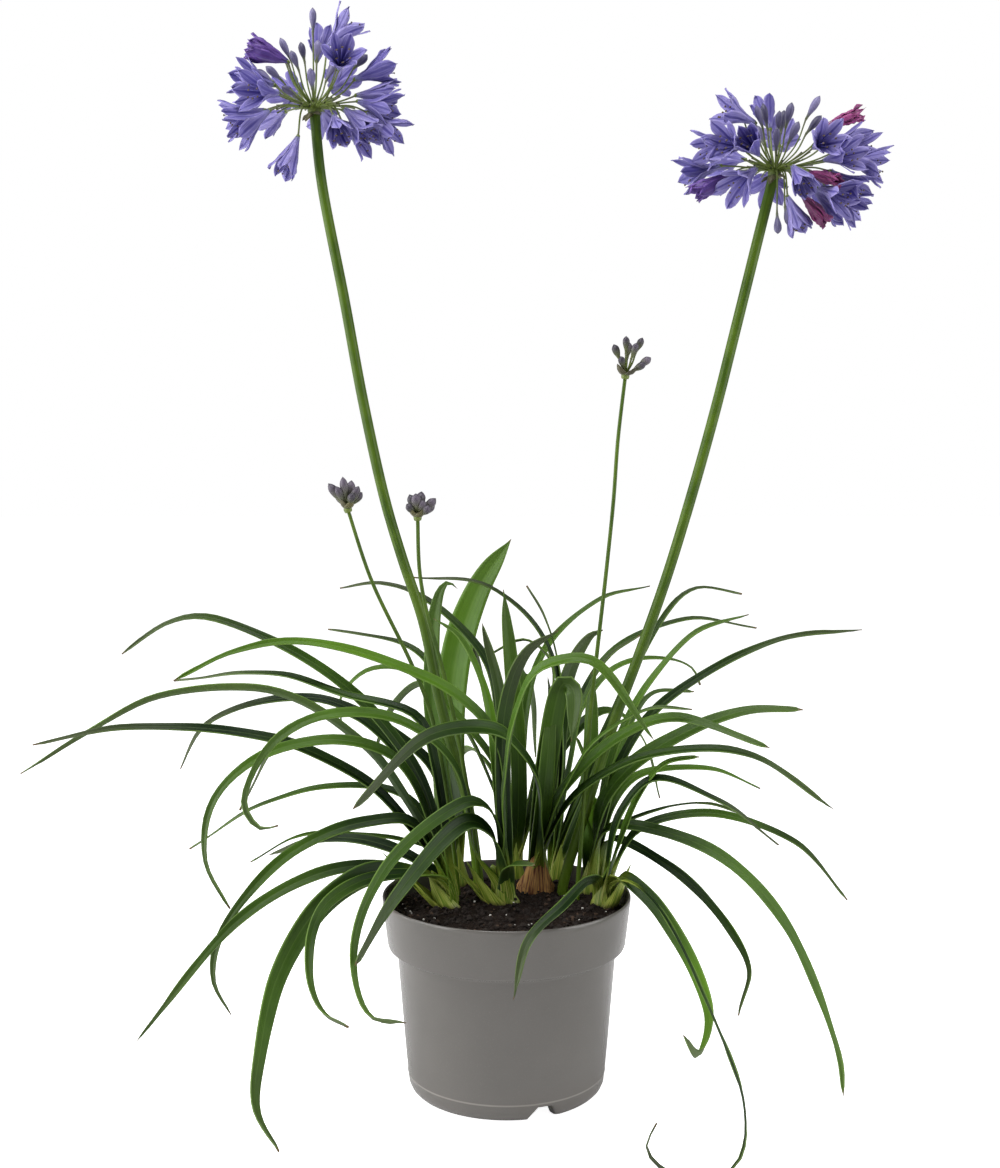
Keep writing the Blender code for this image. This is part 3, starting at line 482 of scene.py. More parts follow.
def base_finish(dark, light, upper, soiled):
    """The leaf bases above the soil: yellow-green with cream streaks, darker where they enter the soil."""
    made = Finish("leaf base skin", 0.42)
    height = made.height()
    lines = made.lines(26, 1.2, 3.0)
    body = made.mix(made.step(lines, 0.38, 0.64), dark, light)
    body = made.mix(made.step(height, SOIL_TOP + 0.016, SOIL_TOP + 0.045), body, upper)
    body = made.mix(made.step(height, SOIL_TOP + 0.006, SOIL_TOP - 0.001), body, soiled)
    made.colour(body)
    made.bump(lines, 0.4, 0.0008)
    return made.material


def stem_finish(dark, light, foot, speck):
    """The flower stem: green with faint lines, yellower at its foot, and finely specked."""
    made = Finish("flower stem skin", 0.40)
    along = made.across_and_along()[1]
    lines = made.lines(30, 9.0)
    clouds = made.noise(40.0, 3.0)
    share = made.plus(made.times(lines, 0.5), made.times(clouds, 0.5))
    body = made.mix(made.step(share, 0.36, 0.64), dark, light)
    body = made.mix(made.step(along, 0.20, 0.02), body, foot)
    specks = made.noise(380.0, 1.0)
    body = made.mix(made.times(made.step(specks, 0.66, 0.72), 0.30), body, speck)
    made.colour(body)
    made.bump(lines, 0.2, 0.0005)
    made.set(Specular_IOR_Level=0.25)
    return made.material


def pedicel_finish(dark, light, upper):
    """The stalks of single flowers: olive, and tinged with violet near the flower."""
    made = Finish("flower stalk skin", 0.45)
    along = made.across_and_along()[1]
    grain = made.noise(300.0, 2.0)
    body = made.mix(grain, dark, light)
    body = made.mix(made.times(made.step(along, 0.62, 1.0), 0.45), body, upper)
    made.colour(body)
    made.bump(grain, 0.15, 0.0004)
    return made.material


def petal_finish(name, deep, light, rib, foot):
    """A tepal: darker midrib, lighter margin, pale tube and faint veins along it."""
    made = Finish(name, 0.55)
    across, along = made.across_and_along()
    veins = made.lines(26, 2.2)
    clouds = made.noise(90.0, 3.0)
    share = made.plus(made.tone(), made.spread(veins, 1.4))
    share = made.plus(share, made.spread(clouds, 0.5), clamp=True)
    body = made.mix(share, deep, light)
    off_middle = made.off_middle(across)
    midrib = made.times(made.step(off_middle, 0.15, 0.02), made.step(along, 0.10, 0.45))
    body = made.mix(made.times(midrib, 0.85), body, rib)
    margin = made.times(made.step(off_middle, 0.33, 0.5), 0.35)
    body = made.mix(margin, body, (light[0] * 1.5, light[1] * 1.5, light[2] * 1.25))
    body = made.mix(made.times(made.step(along, 0.22, 0.0), 0.7), body, foot)
    made.colour(body)
    made.bump(veins, 0.3, 0.0005)
    made.set(Sheen_Weight=0.10, Sheen_Roughness=0.5, Subsurface_Weight=0.10,
             Subsurface_Radius=(0.002, 0.002, 0.004), Subsurface_Scale=0.5)
    return made.material


BUD_TIP = (0.03, 0.03, 0.035)


def bud_finish(name, body_dark, body_light, foot, foot_reach=0.38):
    """A closed bud or a bract: faint lines, its foot in a second colour, and a darker tip."""
    made = Finish(name, 0.5)
    along = made.across_and_along()[1]
    lines = made.lines(20, 2.0)
    share = made.plus(made.tone(), made.math("SUBTRACT", lines, 0.5), clamp=True)
    body = made.mix(share, body_dark, body_light)
    body = made.mix(made.step(along, foot_reach, 0.02), body, foot)
    body = made.mix(made.times(made.step(along, 0.86, 1.0), 0.5), body, BUD_TIP)
    made.colour(body)
    made.bump(lines, 0.3, 0.0005)
    made.set(Sheen_Weight=0.15)
    return made.material


# The pot's plastic and what marks it, then the lower and upper edges of the pale seam above its foot.
TAUPE_DARK = (0.104, 0.097, 0.089)
TAUPE_LIGHT = (0.126, 0.117, 0.108)
TAUPE_GRAIN = (0.21, 0.20, 0.185)
SEAM_PALE = (0.30, 0.28, 0.25)
FOOT_DUST = (0.12, 0.10, 0.08)
LIP_DUST = (0.12, 0.09, 0.07)
SEAM_LOW = (0.0124, 0.0131)
SEAM_HIGH = (0.0143, 0.0137)


def pot_finish():
    """Moulded taupe plastic: fine grain, soft cloudiness, a seam, and soil dust at the rim and foot."""
    made = Finish("taupe pot plastic", 0.34)
    height = made.height()
    grain = made.noise(1500.0, 2.0)
    cloud = made.noise(18.0, 4.0)
    body = made.mix(cloud, TAUPE_DARK, TAUPE_LIGHT)
    body = made.mix(made.times(made.step(grain, 0.58, 0.75), 0.18), body, TAUPE_GRAIN)
    seam = made.times(made.step(height, *SEAM_LOW), made.step(height, *SEAM_HIGH))
    body = made.mix(made.times(seam, 0.55), body, SEAM_PALE)
    dust = made.times(made.step(height, 0.030, 0.002), made.step(cloud, 0.42, 0.70))
    body = made.mix(made.times(dust, 0.25), body, FOOT_DUST)
    lip = made.times(made.step(height, 0.1440, 0.1508), made.step(cloud, 0.52, 0.66))
    body = made.mix(made.times(lip, 0.30), body, LIP_DUST)
    made.colour(body)
    rough = made.node("MapRange", {"Value": cloud, "To Min": 0.18, "To Max": 0.26}).outputs[0]
    made.set(Roughness=rough, Specular_IOR_Level=0.5)
    made.bump(grain, 0.04, 0.0003)
    return made.material


def soil_finish(dark, light, crumb):
    """Potting mix: dark clods, fine paler crumbs and a strong small relief."""
    made = Finish("potting soil", 0.93)
    coarse = made.noise(130.0, 6.0)
    fine = made.noise(700.0, 4.0)
    cells = made.node("TexVoronoi", {"Vector": made.place(), "Scale": 420.0}).outputs[0]
    body = made.mix(coarse, dark, light)
    body = made.mix(made.times(made.step(fine, 0.58, 0.75), 0.4), body, crumb)
    made.colour(body)
    made.bump(made.plus(made.plus(coarse, fine), cells), 1.0, 0.0016)
    made.set(Specular_IOR_Level=0.2)
    return made.material


def plain_finish(name, low, high, roughness, scale, strength=0.2):
    """One grain between two colours, for the smallest pieces."""
    made = Finish(name, roughness)
    grain = made.noise(scale, 3.0)
    made.colour(made.mix(grain, low, high))
    made.bump(grain, strength, 0.0005)
    return made.material


LEAF_TOP = leaf_finish("leaf upper side", dark=(0.0020, 0.014, 0.0008), bright=(0.085, 0.190, 0.010),
                       streak_light=(0.18, 0.30, 0.055), tip_grey=(0.075, 0.095, 0.040), roughness=0.40)
LEAF_UNDER = leaf_finish("leaf under side", dark=(0.013, 0.036, 0.006), bright=(0.085, 0.145, 0.022),
                         streak_light=(0.14, 0.21, 0.06), tip_grey=(0.085, 0.100, 0.052), roughness=0.50)
BASE = base_finish(dark=(0.13, 0.22, 0.010), light=(0.46, 0.50, 0.095), upper=(0.10, 0.19, 0.018),
                   soiled=(0.07, 0.045, 0.02))
PAPERY = papery_finish(dark=(0.12, 0.028, 0.010), light=(0.58, 0.32, 0.10))
STEM = stem_finish(dark=(0.034, 0.074, 0.004), light=(0.080, 0.142, 0.009), foot=(0.12, 0.21, 0.016),
                   speck=(0.03, 0.06, 0.012))
PEDICEL = pedicel_finish(dark=(0.075, 0.120, 0.014), light=(0.180, 0.230, 0.040), upper=(0.13, 0.10, 0.13))
PETAL = petal_finish("violet petal", deep=(0.052, 0.037, 0.235), light=(0.275, 0.240, 0.545),
                     rib=(0.030, 0.018, 0.20), foot=(0.22, 0.22, 0.44))
PETAL_FADED = petal_finish("fading petal", deep=(0.050, 0.016, 0.17), light=(0.165, 0.075, 0.37),
                           rib=(0.06, 0.012, 0.16), foot=(0.13, 0.10, 0.33))
PETAL_WITHERED = petal_finish("withered petal", deep=(0.09, 0.005, 0.060), light=(0.30, 0.040, 0.19),
                              rib=(0.10, 0.006, 0.06), foot=(0.16, 0.06, 0.22))
BUD = bud_finish("flower bud", body_dark=(0.040, 0.034, 0.09), body_light=(0.19, 0.17, 0.33),
                 foot=(0.10, 0.12, 0.05))
HEAD_BUD = bud_finish("young flower bud", body_dark=(0.012, 0.009, 0.020), body_light=(0.105, 0.082, 0.120),
                      foot=(0.100, 0.120, 0.028), foot_reach=0.86)
BRACT = bud_finish("papery bract", body_dark=(0.030, 0.026, 0.008), body_light=(0.11, 0.10, 0.030),
                   foot=(0.06, 0.08, 0.015))
FILAMENT = plain_finish("stamen thread", low=(0.16, 0.14, 0.46), high=(0.32, 0.29, 0.62), roughness=0.5,
                        scale=200.0)
ANTHER = plain_finish("anther", low=(0.03, 0.02, 0.03), high=(0.16, 0.11, 0.05), roughness=0.8, scale=900.0)
POT_PLASTIC = pot_finish()
SOIL = soil_finish(dark=(0.0035, 0.0020, 0.0016), light=(0.026, 0.015, 0.010), crumb=(0.06, 0.036, 0.022))
PERLITE = plain_finish("perlite grain", low=(0.55, 0.53, 0.48), high=(0.85, 0.83, 0.78), roughness=0.9,
                       scale=700.0, strength=0.6)
CRUMB = plain_finish("soil crumb", low=(0.003, 0.0016, 0.0011), high=(0.022, 0.012, 0.007), roughness=0.95,
                     scale=500.0, strength=0.8)
BARK = plain_finish("bark chip", low=(0.016, 0.008, 0.005), high=(0.085, 0.046, 0.024), roughness=0.85,
                    scale=260.0, strength=0.7)


MERGE_GAP = 0.00002


def skin(bm, spot, columns, rows, tone=0.5, finish=0):
    """Lays a grid over spot(across, along), both from 0 to 1, and keeps them as its UV map."""
    uv = bm.loops.layers.uv.get("blade") or bm.loops.layers.uv.new("blade")
    tones = bm.verts.layers.float.get("tone") or bm.verts.layers.float.new("tone")
    made = bmesh.ops.create_grid(bm, x_segments=columns, y_segments=rows, size=0.5)["verts"]
    flat = {vertex: (vertex.co.x + 0.5, vertex.co.y + 0.5) for vertex in made}
    for face in {face for vertex in made for face in vertex.link_faces}:
        face.smooth = True
        face.material_index = finish
        for loop in face.loops:
            loop[uv].uv = flat[loop.vert]
    for vertex, (across, along) in flat.items():
        vertex.co = spot(across, along)
        vertex[tones] = tone


def piece(name, bm, finishes, nodes, closed=False, wall=None, back_finish=0):
    """Finishes a mesh as one piece on the frame. A wall gives an open skin its thickness, downwards."""
    bmesh.ops.remove_doubles(bm, verts=bm.verts, dist=MERGE_GAP)
    if closed:
        bmesh.ops.recalc_face_normals(bm, faces=bm.faces)
    mesh = bpy.data.meshes.new(name)
    bm.to_mesh(mesh)
    bm.free()
    made = bpy.data.objects.new(name, mesh)
    bpy.context.scene.collection.objects.link(made)
    for finish in finishes:
        mesh.materials.append(finish)
    if wall:
        modifier = made.modifiers.new("thickness", "SOLIDIFY")
        modifier.thickness = wall
        modifier.offset = -1
        modifier.material_offset = back_finish
    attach(made, "root")
    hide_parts(*nodes)


def curve_through(points, count):
    """Evenly spaced points along a smooth line through the given ones."""
    knots = [Vector(p) for p in points]
    ends = [2 * knots[0] - knots[1]] + knots + [2 * knots[-1] - knots[-2]]
    fine = []
    for a, b, c, d in zip(ends, ends[1:], ends[2:], ends[3:]):
        t1 = (b - a).length ** 0.5
        t2 = t1 + (c - b).length ** 0.5
        t3 = t2 + (d - c).length ** 0.5
        for step in range(16):
            t = t1 + (t2 - t1) * step / 16
            a1 = a.lerp(b, t / t1)
            a2 = b.lerp(c, (t - t1) / (t2 - t1))
            a3 = c.lerp(d, (t - t2) / (t3 - t2))
            b1 = a1.lerp(a2, t / t2)
            b2 = a2.lerp(a3, (t - t1) / (t3 - t1))
            fine.append(b1.lerp(b2, (t - t1) / (t2 - t1)))
    fine.append(knots[-1])
    travelled = [0.0]
    for a, b in zip(fine, fine[1:]):
        travelled.append(travelled[-1] + (b - a).length)
    spaced = []
    place = 0
    for index in range(count):
        wanted = travelled[-1] * index / (count - 1)
        while place < len(fine) - 2 and travelled[place + 1] < wanted:
            place += 1
        span = travelled[place + 1] - travelled[place]
        spaced.append(fine[place].lerp(fine[place + 1], (wanted - travelled[place]) / span))
    return spaced


def tangents(line):
    """The direction of a line at each of its points."""
    along = [(b - a).normalized() for a, b in zip(line, line[1:])]
    middle = [(a + b).normalized() for a, b in zip(along, along[1:])]
    return [along[0]] + middle + [along[-1]]


def side_axes(direction):
    """Two directions square to the given one, the first kept level where it can be."""
    across = UP.cross(direction)
    if across.length < 0.05:
        across = Vector((1, 0, 0)) - direction * direction.x
    across.normalize()
    return across, direction.cross(across)


def smooth_step(value, low, high):
    """0 at low and before, 1 at high and after, with a soft rise between."""
    share = min(1.0, max(0.0, (value - low) / (high - low)))
    return share * share * (3 - 2 * share)


def rod(bm, line, radii, sides, tone=0.5, finish=0, ripple=0.0):
    """A round stalk along a line. radii(share) gives its radius; the ends close to a point."""
    last = len(line) - 1
    along = tangents(line)
    frames = []
    side = side_axes(along[0])[0]
    for direction in along:
        side = (side - direction * side.dot(direction)).normalized()
        frames.append((side, direction.cross(side)))

    def spot(across, share):
        index = round(share * last)
        a, b = frames[index]
        angle = TURN * across
        radius = radii(share) * (1 + ripple * math.cos(5 * angle))
        return line[index] + (a * math.cos(angle) + b * math.sin(angle)) * radius

    skin(bm, spot, sides, last, tone, finish)


def leaf(bm, shoot, order, width, roll, route, tone):
    """A strap leaf: a wide foot wrapped round its shoot, a channelled and keeled blade, and a long taper.

    Broad upright leaves turn their faces to the front; the others roll to one side as they arch over.
    """
    centre, radii = SHOOTS[shoot]
    middle = Vector((centre[0], centre[1], SOIL_TOP))
    first = Vector(route[0]) * MM
    outward = first - middle
    outward.z = 0
    outward.normalize()
    spreading = 1 - smooth_step(first.z, *SPREADING_HEIGHTS)
    foot_point = middle + outward * radii[0] * (ROOT_OUT + ROOT_OUT_SPREADING * spreading)
    neck = foot_point + outward * NECK_OUT * spreading + UP * (NECK_RISE + NECK_STEP * order)
    points = [foot_point - UP * ROOT_DEPTH, neck] + [Vector(p) * MM for p in route]
    line = curve_through(points, LEAF_ROWS + 1)
    length = sum((b - a).length for a, b in zip(line, line[1:]))
    heading = points[-1] - points[0]
    heading.z = 0
    level = UP.cross(heading.normalized())
    to_front = order in FACING.get(shoot, ())
    phase = DICE.uniform(0, TURN)
    sway = DICE.uniform(-SWAY_DEGREES, SWAY_DEGREES)
    drawn = width * MM * (BROAD_DRAWN if width >= BROAD_WIDTH else
                          LEFT_DRAWN if shoot in LEFT_SIDE else OTHER_DRAWN)
    foot_half = min(radii[0] * FOOT_OF_SHOOT, drawn * FOOT_OF_LEAF)
    frames = []
    for index, direction in enumerate(tangents(line)):
        share = index / LEAF_ROWS
        if to_front:
            across = direction.cross(Vector((0, 1, 0))).normalized()
            turn = math.copysign(FACING_TURN, roll)
        else:
            across = (level - direction * level.dot(direction)).normalized()
            turn = roll * smooth_step(share * length, *ROLL_GROWS)
        turn += sway * math.sin(3 * share + phase) * share
        across = Matrix.Rotation(math.radians(turn), 3, direction) @ across
        frames.append((across, direction.cross(across)))
    wrap = 1 if frames[0][1].dot(-outward) >= 0 else -1
    bluntness, tip_from = FACING_TIP if to_front else ARCHING_TIP

    def spot(across, share):
        row = round(share * LEAF_ROWS)
        side, face = frames[row]
        s = 1 - 2 * across
        grown = ROOT_WIDTH + (1 - ROOT_WIDTH) * min(1.0, share / FULL_WIDTH_AT)
        over = max(0.0, (share - TAPER_FROM) / (1 - TAPER_FROM))
        taper = 1 - TAPER * over ** bluntness
        taper *= math.sqrt(max(0.0, 1 - smooth_step(share, tip_from, 1.0) ** 2))
        foot = 1 - smooth_step(share * length, *FOOT_ENDS)
        half = drawn / 2 * grown * taper * (1 - foot) + foot_half * foot
        curl = s * s * half * (BLADE_CURL * (1 - foot) + FOOT_CURL * foot * wrap)
        wave = WAVE_HEIGHT * math.sin(share * length * WAVE_PACE + phase) * abs(s) ** 3 * (1 - foot)
        keel = KEEL_DEPTH * math.exp(-(s / KEEL_WIDTH) ** 2)
        return line[row] + side * half * s + face * (curl + wave - keel)

    skin(bm, spot, LEAF_COLUMNS, LEAF_ROWS, tone)


def shoot_foot(shoot):
    """The heart of the shoot that the leaf feet wrap: ribbed, and drawn in to a blunt top."""
    centre, radii = SHOOTS[shoot]
    height = CORE_HEIGHT.get(shoot, CORE_HEIGHT_OTHER) * CORE_SHARE
    lean = SHOOT_LEAN.get(shoot, 0.0)
    low = SOIL_TOP - CORE_DEPTH
    phase = DICE.uniform(0, TURN)

    def spot(across, share):
        angle = TURN * across
        z = low + (SOIL_TOP + height - low) * share
        rise = z - SOIL_TOP
        size = 0.66 + 0.06 * smooth_step(rise, 0.0, 0.008) - 0.50 * smooth_step(rise, 0.004, height)
        size *= 1 + 0.07 * abs(math.cos(angle * 2 + phase)) + 0.012 * math.sin(angle * 9 + 40 * rise)
        size *= 1 - smooth_step(share, 0.94, 1.0)
        return Vector((centre[0] + radii[0] * size * math.cos(angle) + lean * max(0.0, rise),
                       centre[1] + radii[1] * size * math.sin(angle), z))

    bm = bmesh.new()
    skin(bm, spot, CORE_SIDES, CORE_ROWS, CORE_TONE)
    return bm


def make_shoots():
    """Each shoot's leaves as one piece, and the heart that they wrap as another."""
    for shoot in SHOOTS:
        node = "shoot_" + shoot
        bm = bmesh.new()
        for order, ((width, roll, route), tone) in enumerate(zip(LEAVES[shoot], TONES[shoot])):
            leaf(bm, shoot, order, width, roll, route, tone)
        piece("leaves_" + shoot, bm, (LEAF_TOP, LEAF_UNDER), [node], wall=LEAF_WALL,
              back_finish=1)
        piece("leaf_bases_" + shoot, shoot_foot(shoot), (BASE,), [node], closed=True)


# Stems as drawn: sides and points by kind, and how much of its listed radius each has at its foot, with
# what it gains towards its top.
STEM_SIDES = {"tall": 24, "short": 12}
STEM_POINTS = {"tall": 90, "short": 50}
STEM_SLIM = {"tall": (0.62, 0.25), "short": (0.80, 0.0)}
STEM_SWELL = {"tall": 0.0006, "short": 0.0}
STEM_SWELLS = (0.965, 0.995)
STEM_RIPPLE = 0.012
STEM_DEPTH = 0.008
STEM_STRAIGHT = 0.004
END_SHARE = 0.04


def make_scapes():
    """The flower stems, slimmer than the frame's, each run into the origin of its head."""
    for name, (foot, top, route) in SCAPES.items():
        start = Vector(route[0]) * MM
        tall = name in UMBELS
        kind = "tall" if tall else "short"
        origin = head_place(name, UMBEL_KNOB if tall else BUD_KNOB)[0]
        points = [start - UP * STEM_DEPTH, start + UP * STEM_STRAIGHT]
        points += [Vector(p) * MM for p in route[1:]] + [origin]
        line = curve_through(points, STEM_POINTS[kind])
        line.insert(1, line[0].lerp(line[1], END_SHARE))
        line.insert(len(line) - 1, line[-1].lerp(line[-2], END_SHARE))
        finest = 1 / (len(line) - 1)

        def radius(share):
            if share < finest / 2 or share > 1 - finest / 2:
                return 0.0
            swell = STEM_SWELL[kind] * smooth_step(share, *STEM_SWELLS)
            slim = STEM_SLIM[kind][0] + STEM_SLIM[kind][1] * share
            return (foot + (top - foot) * share) * MM * slim + swell

        bm = bmesh.new()
        rod(bm, line, radius, STEM_SIDES[kind], ripple=STEM_RIPPLE)
        piece("stem_" + name, bm, (STEM,), ["flower_stem_" + name], closed=True)


# The finishes of a flower head's small parts, and where each stands among them.
HEAD_FINISHES = (PEDICEL, BUD, BRACT, FILAMENT, ANTHER, HEAD_BUD)
PEDICEL_AT, BUD_AT, BRACT_AT, FILAMENT_AT, ANTHER_AT, HEAD_BUD_AT = range(len(HEAD_FINISHES))

# Floret forms by state: reach of the tepals, radii of their middles at even steps, half width, crinkle.
FLORET_FORMS = {
    "open": (0.0320, (0.0013, 0.0025, 0.0038, 0.0062, 0.0094, 0.0126, 0.0150), 0.0047, 0.0009),
    "half": (0.0305, (0.0013, 0.0026, 0.0040, 0.0058, 0.0076, 0.0088, 0.0092), 0.0045, 0.0008),
    "faded": (0.0310, (0.0013, 0.0027, 0.0038, 0.0048, 0.0058, 0.0058, 0.0058), 0.0040, 0.0014),
    "withered": (0.0280, (0.0013, 0.0024, 0.0032, 0.0038, 0.0040, 0.0036, 0.0042), 0.0030, 0.0020),
}
PETAL_FINISH = {"open": 0, "half": 0, "faded": 1, "withered": 2}
TEPALS = 6
TEPAL_COLUMNS = 6
TEPAL_ROWS = 14
TEPAL_WALL = 0.00032
INNER_WIDTH = 1.12
OUTER_WIDTH = 0.92
LEAST_HALF = 0.0009
TUBE_SHARE = 0.35
TUBE_SWING = 0.62
TIP_CURL = 0.10

# A floret's stamens and the swelling that it starts from: lengths and radii in metres.
FILAMENT_RADIUS = 0.00034
FILAMENT_STEPS = (0.1, 0.4, 0.7, 1.0)
FILAMENT_SPREAD = 0.0052
FILAMENT_SAG = 0.002
ANTHER_SIZE = (0.0024, 0.0007)
SWELLING_SIZE = (0.0042, 0.0017)


def between(values, share):
    """A smooth value at a share of the way along evenly spaced ones."""
    place = share * (len(values) - 1)
    index = min(int(place), len(values) - 2)
    return values[index] + (values[index + 1] - values[index]) * (place - index)


def tepal(bm, foot, axes, turn, form, inner, tone, finish):
    """One of a floret's six tepals: part of the tube at first, then a free lobe with a rounded tip."""
    reach, radii, half_width, crinkle = form
    direction, across, up = axes
    reach *= DICE.uniform(0.93, 1.05)
    flare = DICE.uniform(0.86, 1.12)
    curl = DICE.uniform(0.3, 1.3)
    lean = DICE.uniform(-0.16, 0.16)
    seed = Vector((DICE.uniform(0, 50), 0, 0))
    width = half_width * (INNER_WIDTH if inner else OUTER_WIDTH)

    def spot(u, share):
        side = 2 * u - 1
        radius = between(radii, share) * (1 + (flare - 1) * share)
        body = smooth_step(share, 0.0, 0.30) * 0.55 + smooth_step(share, 0.25, 0.62) * 0.45
        point = math.sqrt(max(0.0, 1 - smooth_step(share, 0.66, 1.0) ** 2.2))
        half = max(LEAST_HALF, width * body) * point
        swing = side * half / max(radius, 0.0022)
        if share < TUBE_SHARE:
            swing = max(-TUBE_SWING, min(TUBE_SWING, swing))
        angle = turn + swing + lean * share ** 2
        far = reach * (share - TIP_CURL * curl * max(0.0, share - 0.6) ** 2)
        out = radius + 0.0008 * abs(side) * share + (0.0004 if inner else 0.0)
        out += crinkle * noise(seed + Vector((side * 1.6, share * 5, 0))) * share * 2
        far += crinkle * noise(seed + Vector((side * 1.2 + 9, share * 4, 3))) * share * 2
        return foot + direction * far + (across * math.cos(angle) + up * math.sin(angle)) * out

    skin(bm, spot, TEPAL_COLUMNS, TEPAL_ROWS, tone, finish)


def bulb(bm, centre, direction, length, radius, finish):
    """A small closed body, for an anther or the swelling at a floret's foot."""
    turn = UP.rotation_difference(direction).to_matrix().to_4x4()
    size = Matrix.Diagonal((radius, radius, length / 2, 1))
    made = bmesh.ops.create_icosphere(bm, subdivisions=1, radius=1,
                                      matrix=Matrix.Translation(centre) @ turn @ size)["verts"]
    for face in {face for vertex in made for face in vertex.link_faces}:
        face.smooth = True
        face.material_index = finish


def stalk(bm, end, radius, tone):
    """The thin stalk from the head of the stem to the foot of a flower: out first, then up or down."""
    rise = 0.46 if end.z > 0 else 0.10
    middle = Vector((end.x * 0.68, end.y * 0.68, end.z * rise + 0.0015))
    line = curve_through([end.normalized() * 0.0008, middle, end], 15)

    def radii(share):
        return radius * (1.25 - 0.45 * smooth_step(share, 0.0, 0.25) + 0.35 * smooth_step(share, 0.9, 1.0))

    rod(bm, line, radii, 6, tone, PEDICEL_AT)


def floret(petals, parts, state, foot, mouth):
    """Six tepals go to the petal mesh, and the stamens to the mesh of solid parts."""
    direction = (mouth - foot).normalized()
    across, up = side_axes(direction)
    start = DICE.uniform(0, TURN / TEPALS)
    form = FLORET_FORMS[state]
    base = DICE.uniform(0.15, 0.85)
    for index in range(TEPALS):
        turn = start + TURN * index / TEPALS
        tone = min(1.0, max(0.0, base + DICE.uniform(-0.2, 0.2)))
        tepal(petals, foot, (direction, across, up), turn, form, index % 2, tone, PETAL_FINISH[state])
    bulb(parts, foot, direction, *SWELLING_SIZE, PEDICEL_AT)
    if state in ("faded", "withered"):
        return
    reach = form[0]
    for index in range(TEPALS):
        angle = start + TURN * (index + 0.5) / TEPALS
        out = across * math.cos(angle) + up * math.sin(angle)
        length = reach * DICE.uniform(0.74, 0.92)
        bend = DICE.uniform(0.8, 1.2)
        line = []
        for share in FILAMENT_STEPS:
            bow = (out * FILAMENT_SPREAD * share ** 1.4 - UP * FILAMENT_SAG * share ** 2) * bend
            line.append(foot + direction * length * share + bow)
        rod(parts, line, lambda share: FILAMENT_RADIUS, 4, finish=FILAMENT_AT)
        bulb(parts, line[-1], (across + up * 0.5).normalized(), *ANTHER_SIZE, ANTHER_AT)


def bud(bm, base, tip, radius, tone, finish):
    """A club-shaped closed bud with six faint ribs."""
    line = [base.lerp(tip, index / 12) for index in range(13)]

    def radii(share):
        club = 0.34 + 0.66 * smooth_step(share, 0.05, 0.62)
        return radius * club * math.sqrt(max(0.0, 1 - smooth_step(share, 0.68, 1.0) ** 1.5))

    rod(bm, line, radii, 12, tone, finish, ripple=0.07)


def bract(bm, base, tip, width, tone):
    """A dry, pointed sheath at the foot of a head, cupped round it."""
    direction = (tip - base).normalized()
    outward = Vector((direction.x, direction.y, 0)).normalized()
    side = direction.cross(outward).normalized()
    face = side.cross(direction)
    length = (tip - base).length

    def spot(across, share):
        s = 2 * across - 1
        half = width * (0.75 + 0.5 * math.sin(math.pi * share ** 0.8))
        half *= math.sqrt(max(0.0, 1 - share ** 1.8))
        bow = 0.16 * length * math.sin(math.pi * share)
        crumple = 0.0005 * noise(Vector((s * 2, share * 6, tip.x * 900)))
        lift = -face if face.dot(outward) < 0 else face
        cup = bow - 0.5 * half * s * s + crumple
        return base + direction * length * share + side * s * half + lift * cup

    skin(bm, spot, 6, 10, tone, BRACT_AT)


def head_place(scape, knob):
    """Where a head's own origin stands, as far past its stem's end as in the frame, and its direction."""
    route = SCAPES[scape][2]
    end = Vector(route[-1]) * MM
    along = (end - Vector(route[-2]) * MM).normalized()
    return end + along * (knob * 0.9 + 0.0003), along


# The knob's profile in shares of its radius: heights along it, and the radius at each.
KNOB_HEIGHTS = (0.0, 0.25, 0.6, 1.0, 1.5, 1.9, 2.2)
KNOB_RADII = (0.0, 0.86, 0.98, 1.02, 0.86, 0.5, 0.0)
KNOB_SUNK = 1.15
KNOB_SIDES = 20


def knob_body(bm, along, size):
    """The swollen end of the stem that all stalks leave from."""
    line = [along * size * (height - KNOB_SUNK) for height in KNOB_HEIGHTS]
    last = len(KNOB_RADII) - 1
    rod(bm, line, lambda share: size * KNOB_RADII[round(share * last)], KNOB_SIDES, finish=PEDICEL_AT)


# An umbel: its stalks' radii, the short stalks that fill its heart, and its buds' lengths and radii.
FLOWER_STALK = 0.00085
BUD_STALK = 0.00075
FILL_STALK = 0.0007
FILL_STALKS = 36
FILL_LENGTHS = (0.015, 0.031)
BUD_LENGTHS = (0.015, 0.021)
BUD_RADII = (0.0025, 0.0034)

# The remains of an umbel's spathe, each as (turn, drop), with their reach, half width and thickness.
SPATHE_REMAINS = ((2.6, -0.008), (5.2, -0.006), (4.2, -0.011))
SPATHE_REACH = 0.011
SPATHE_HALF = 0.0030
SPATHE_WALL = 0.0003
SPATHE_ROOT = 0.35
SPATHE_SUNK = 0.003


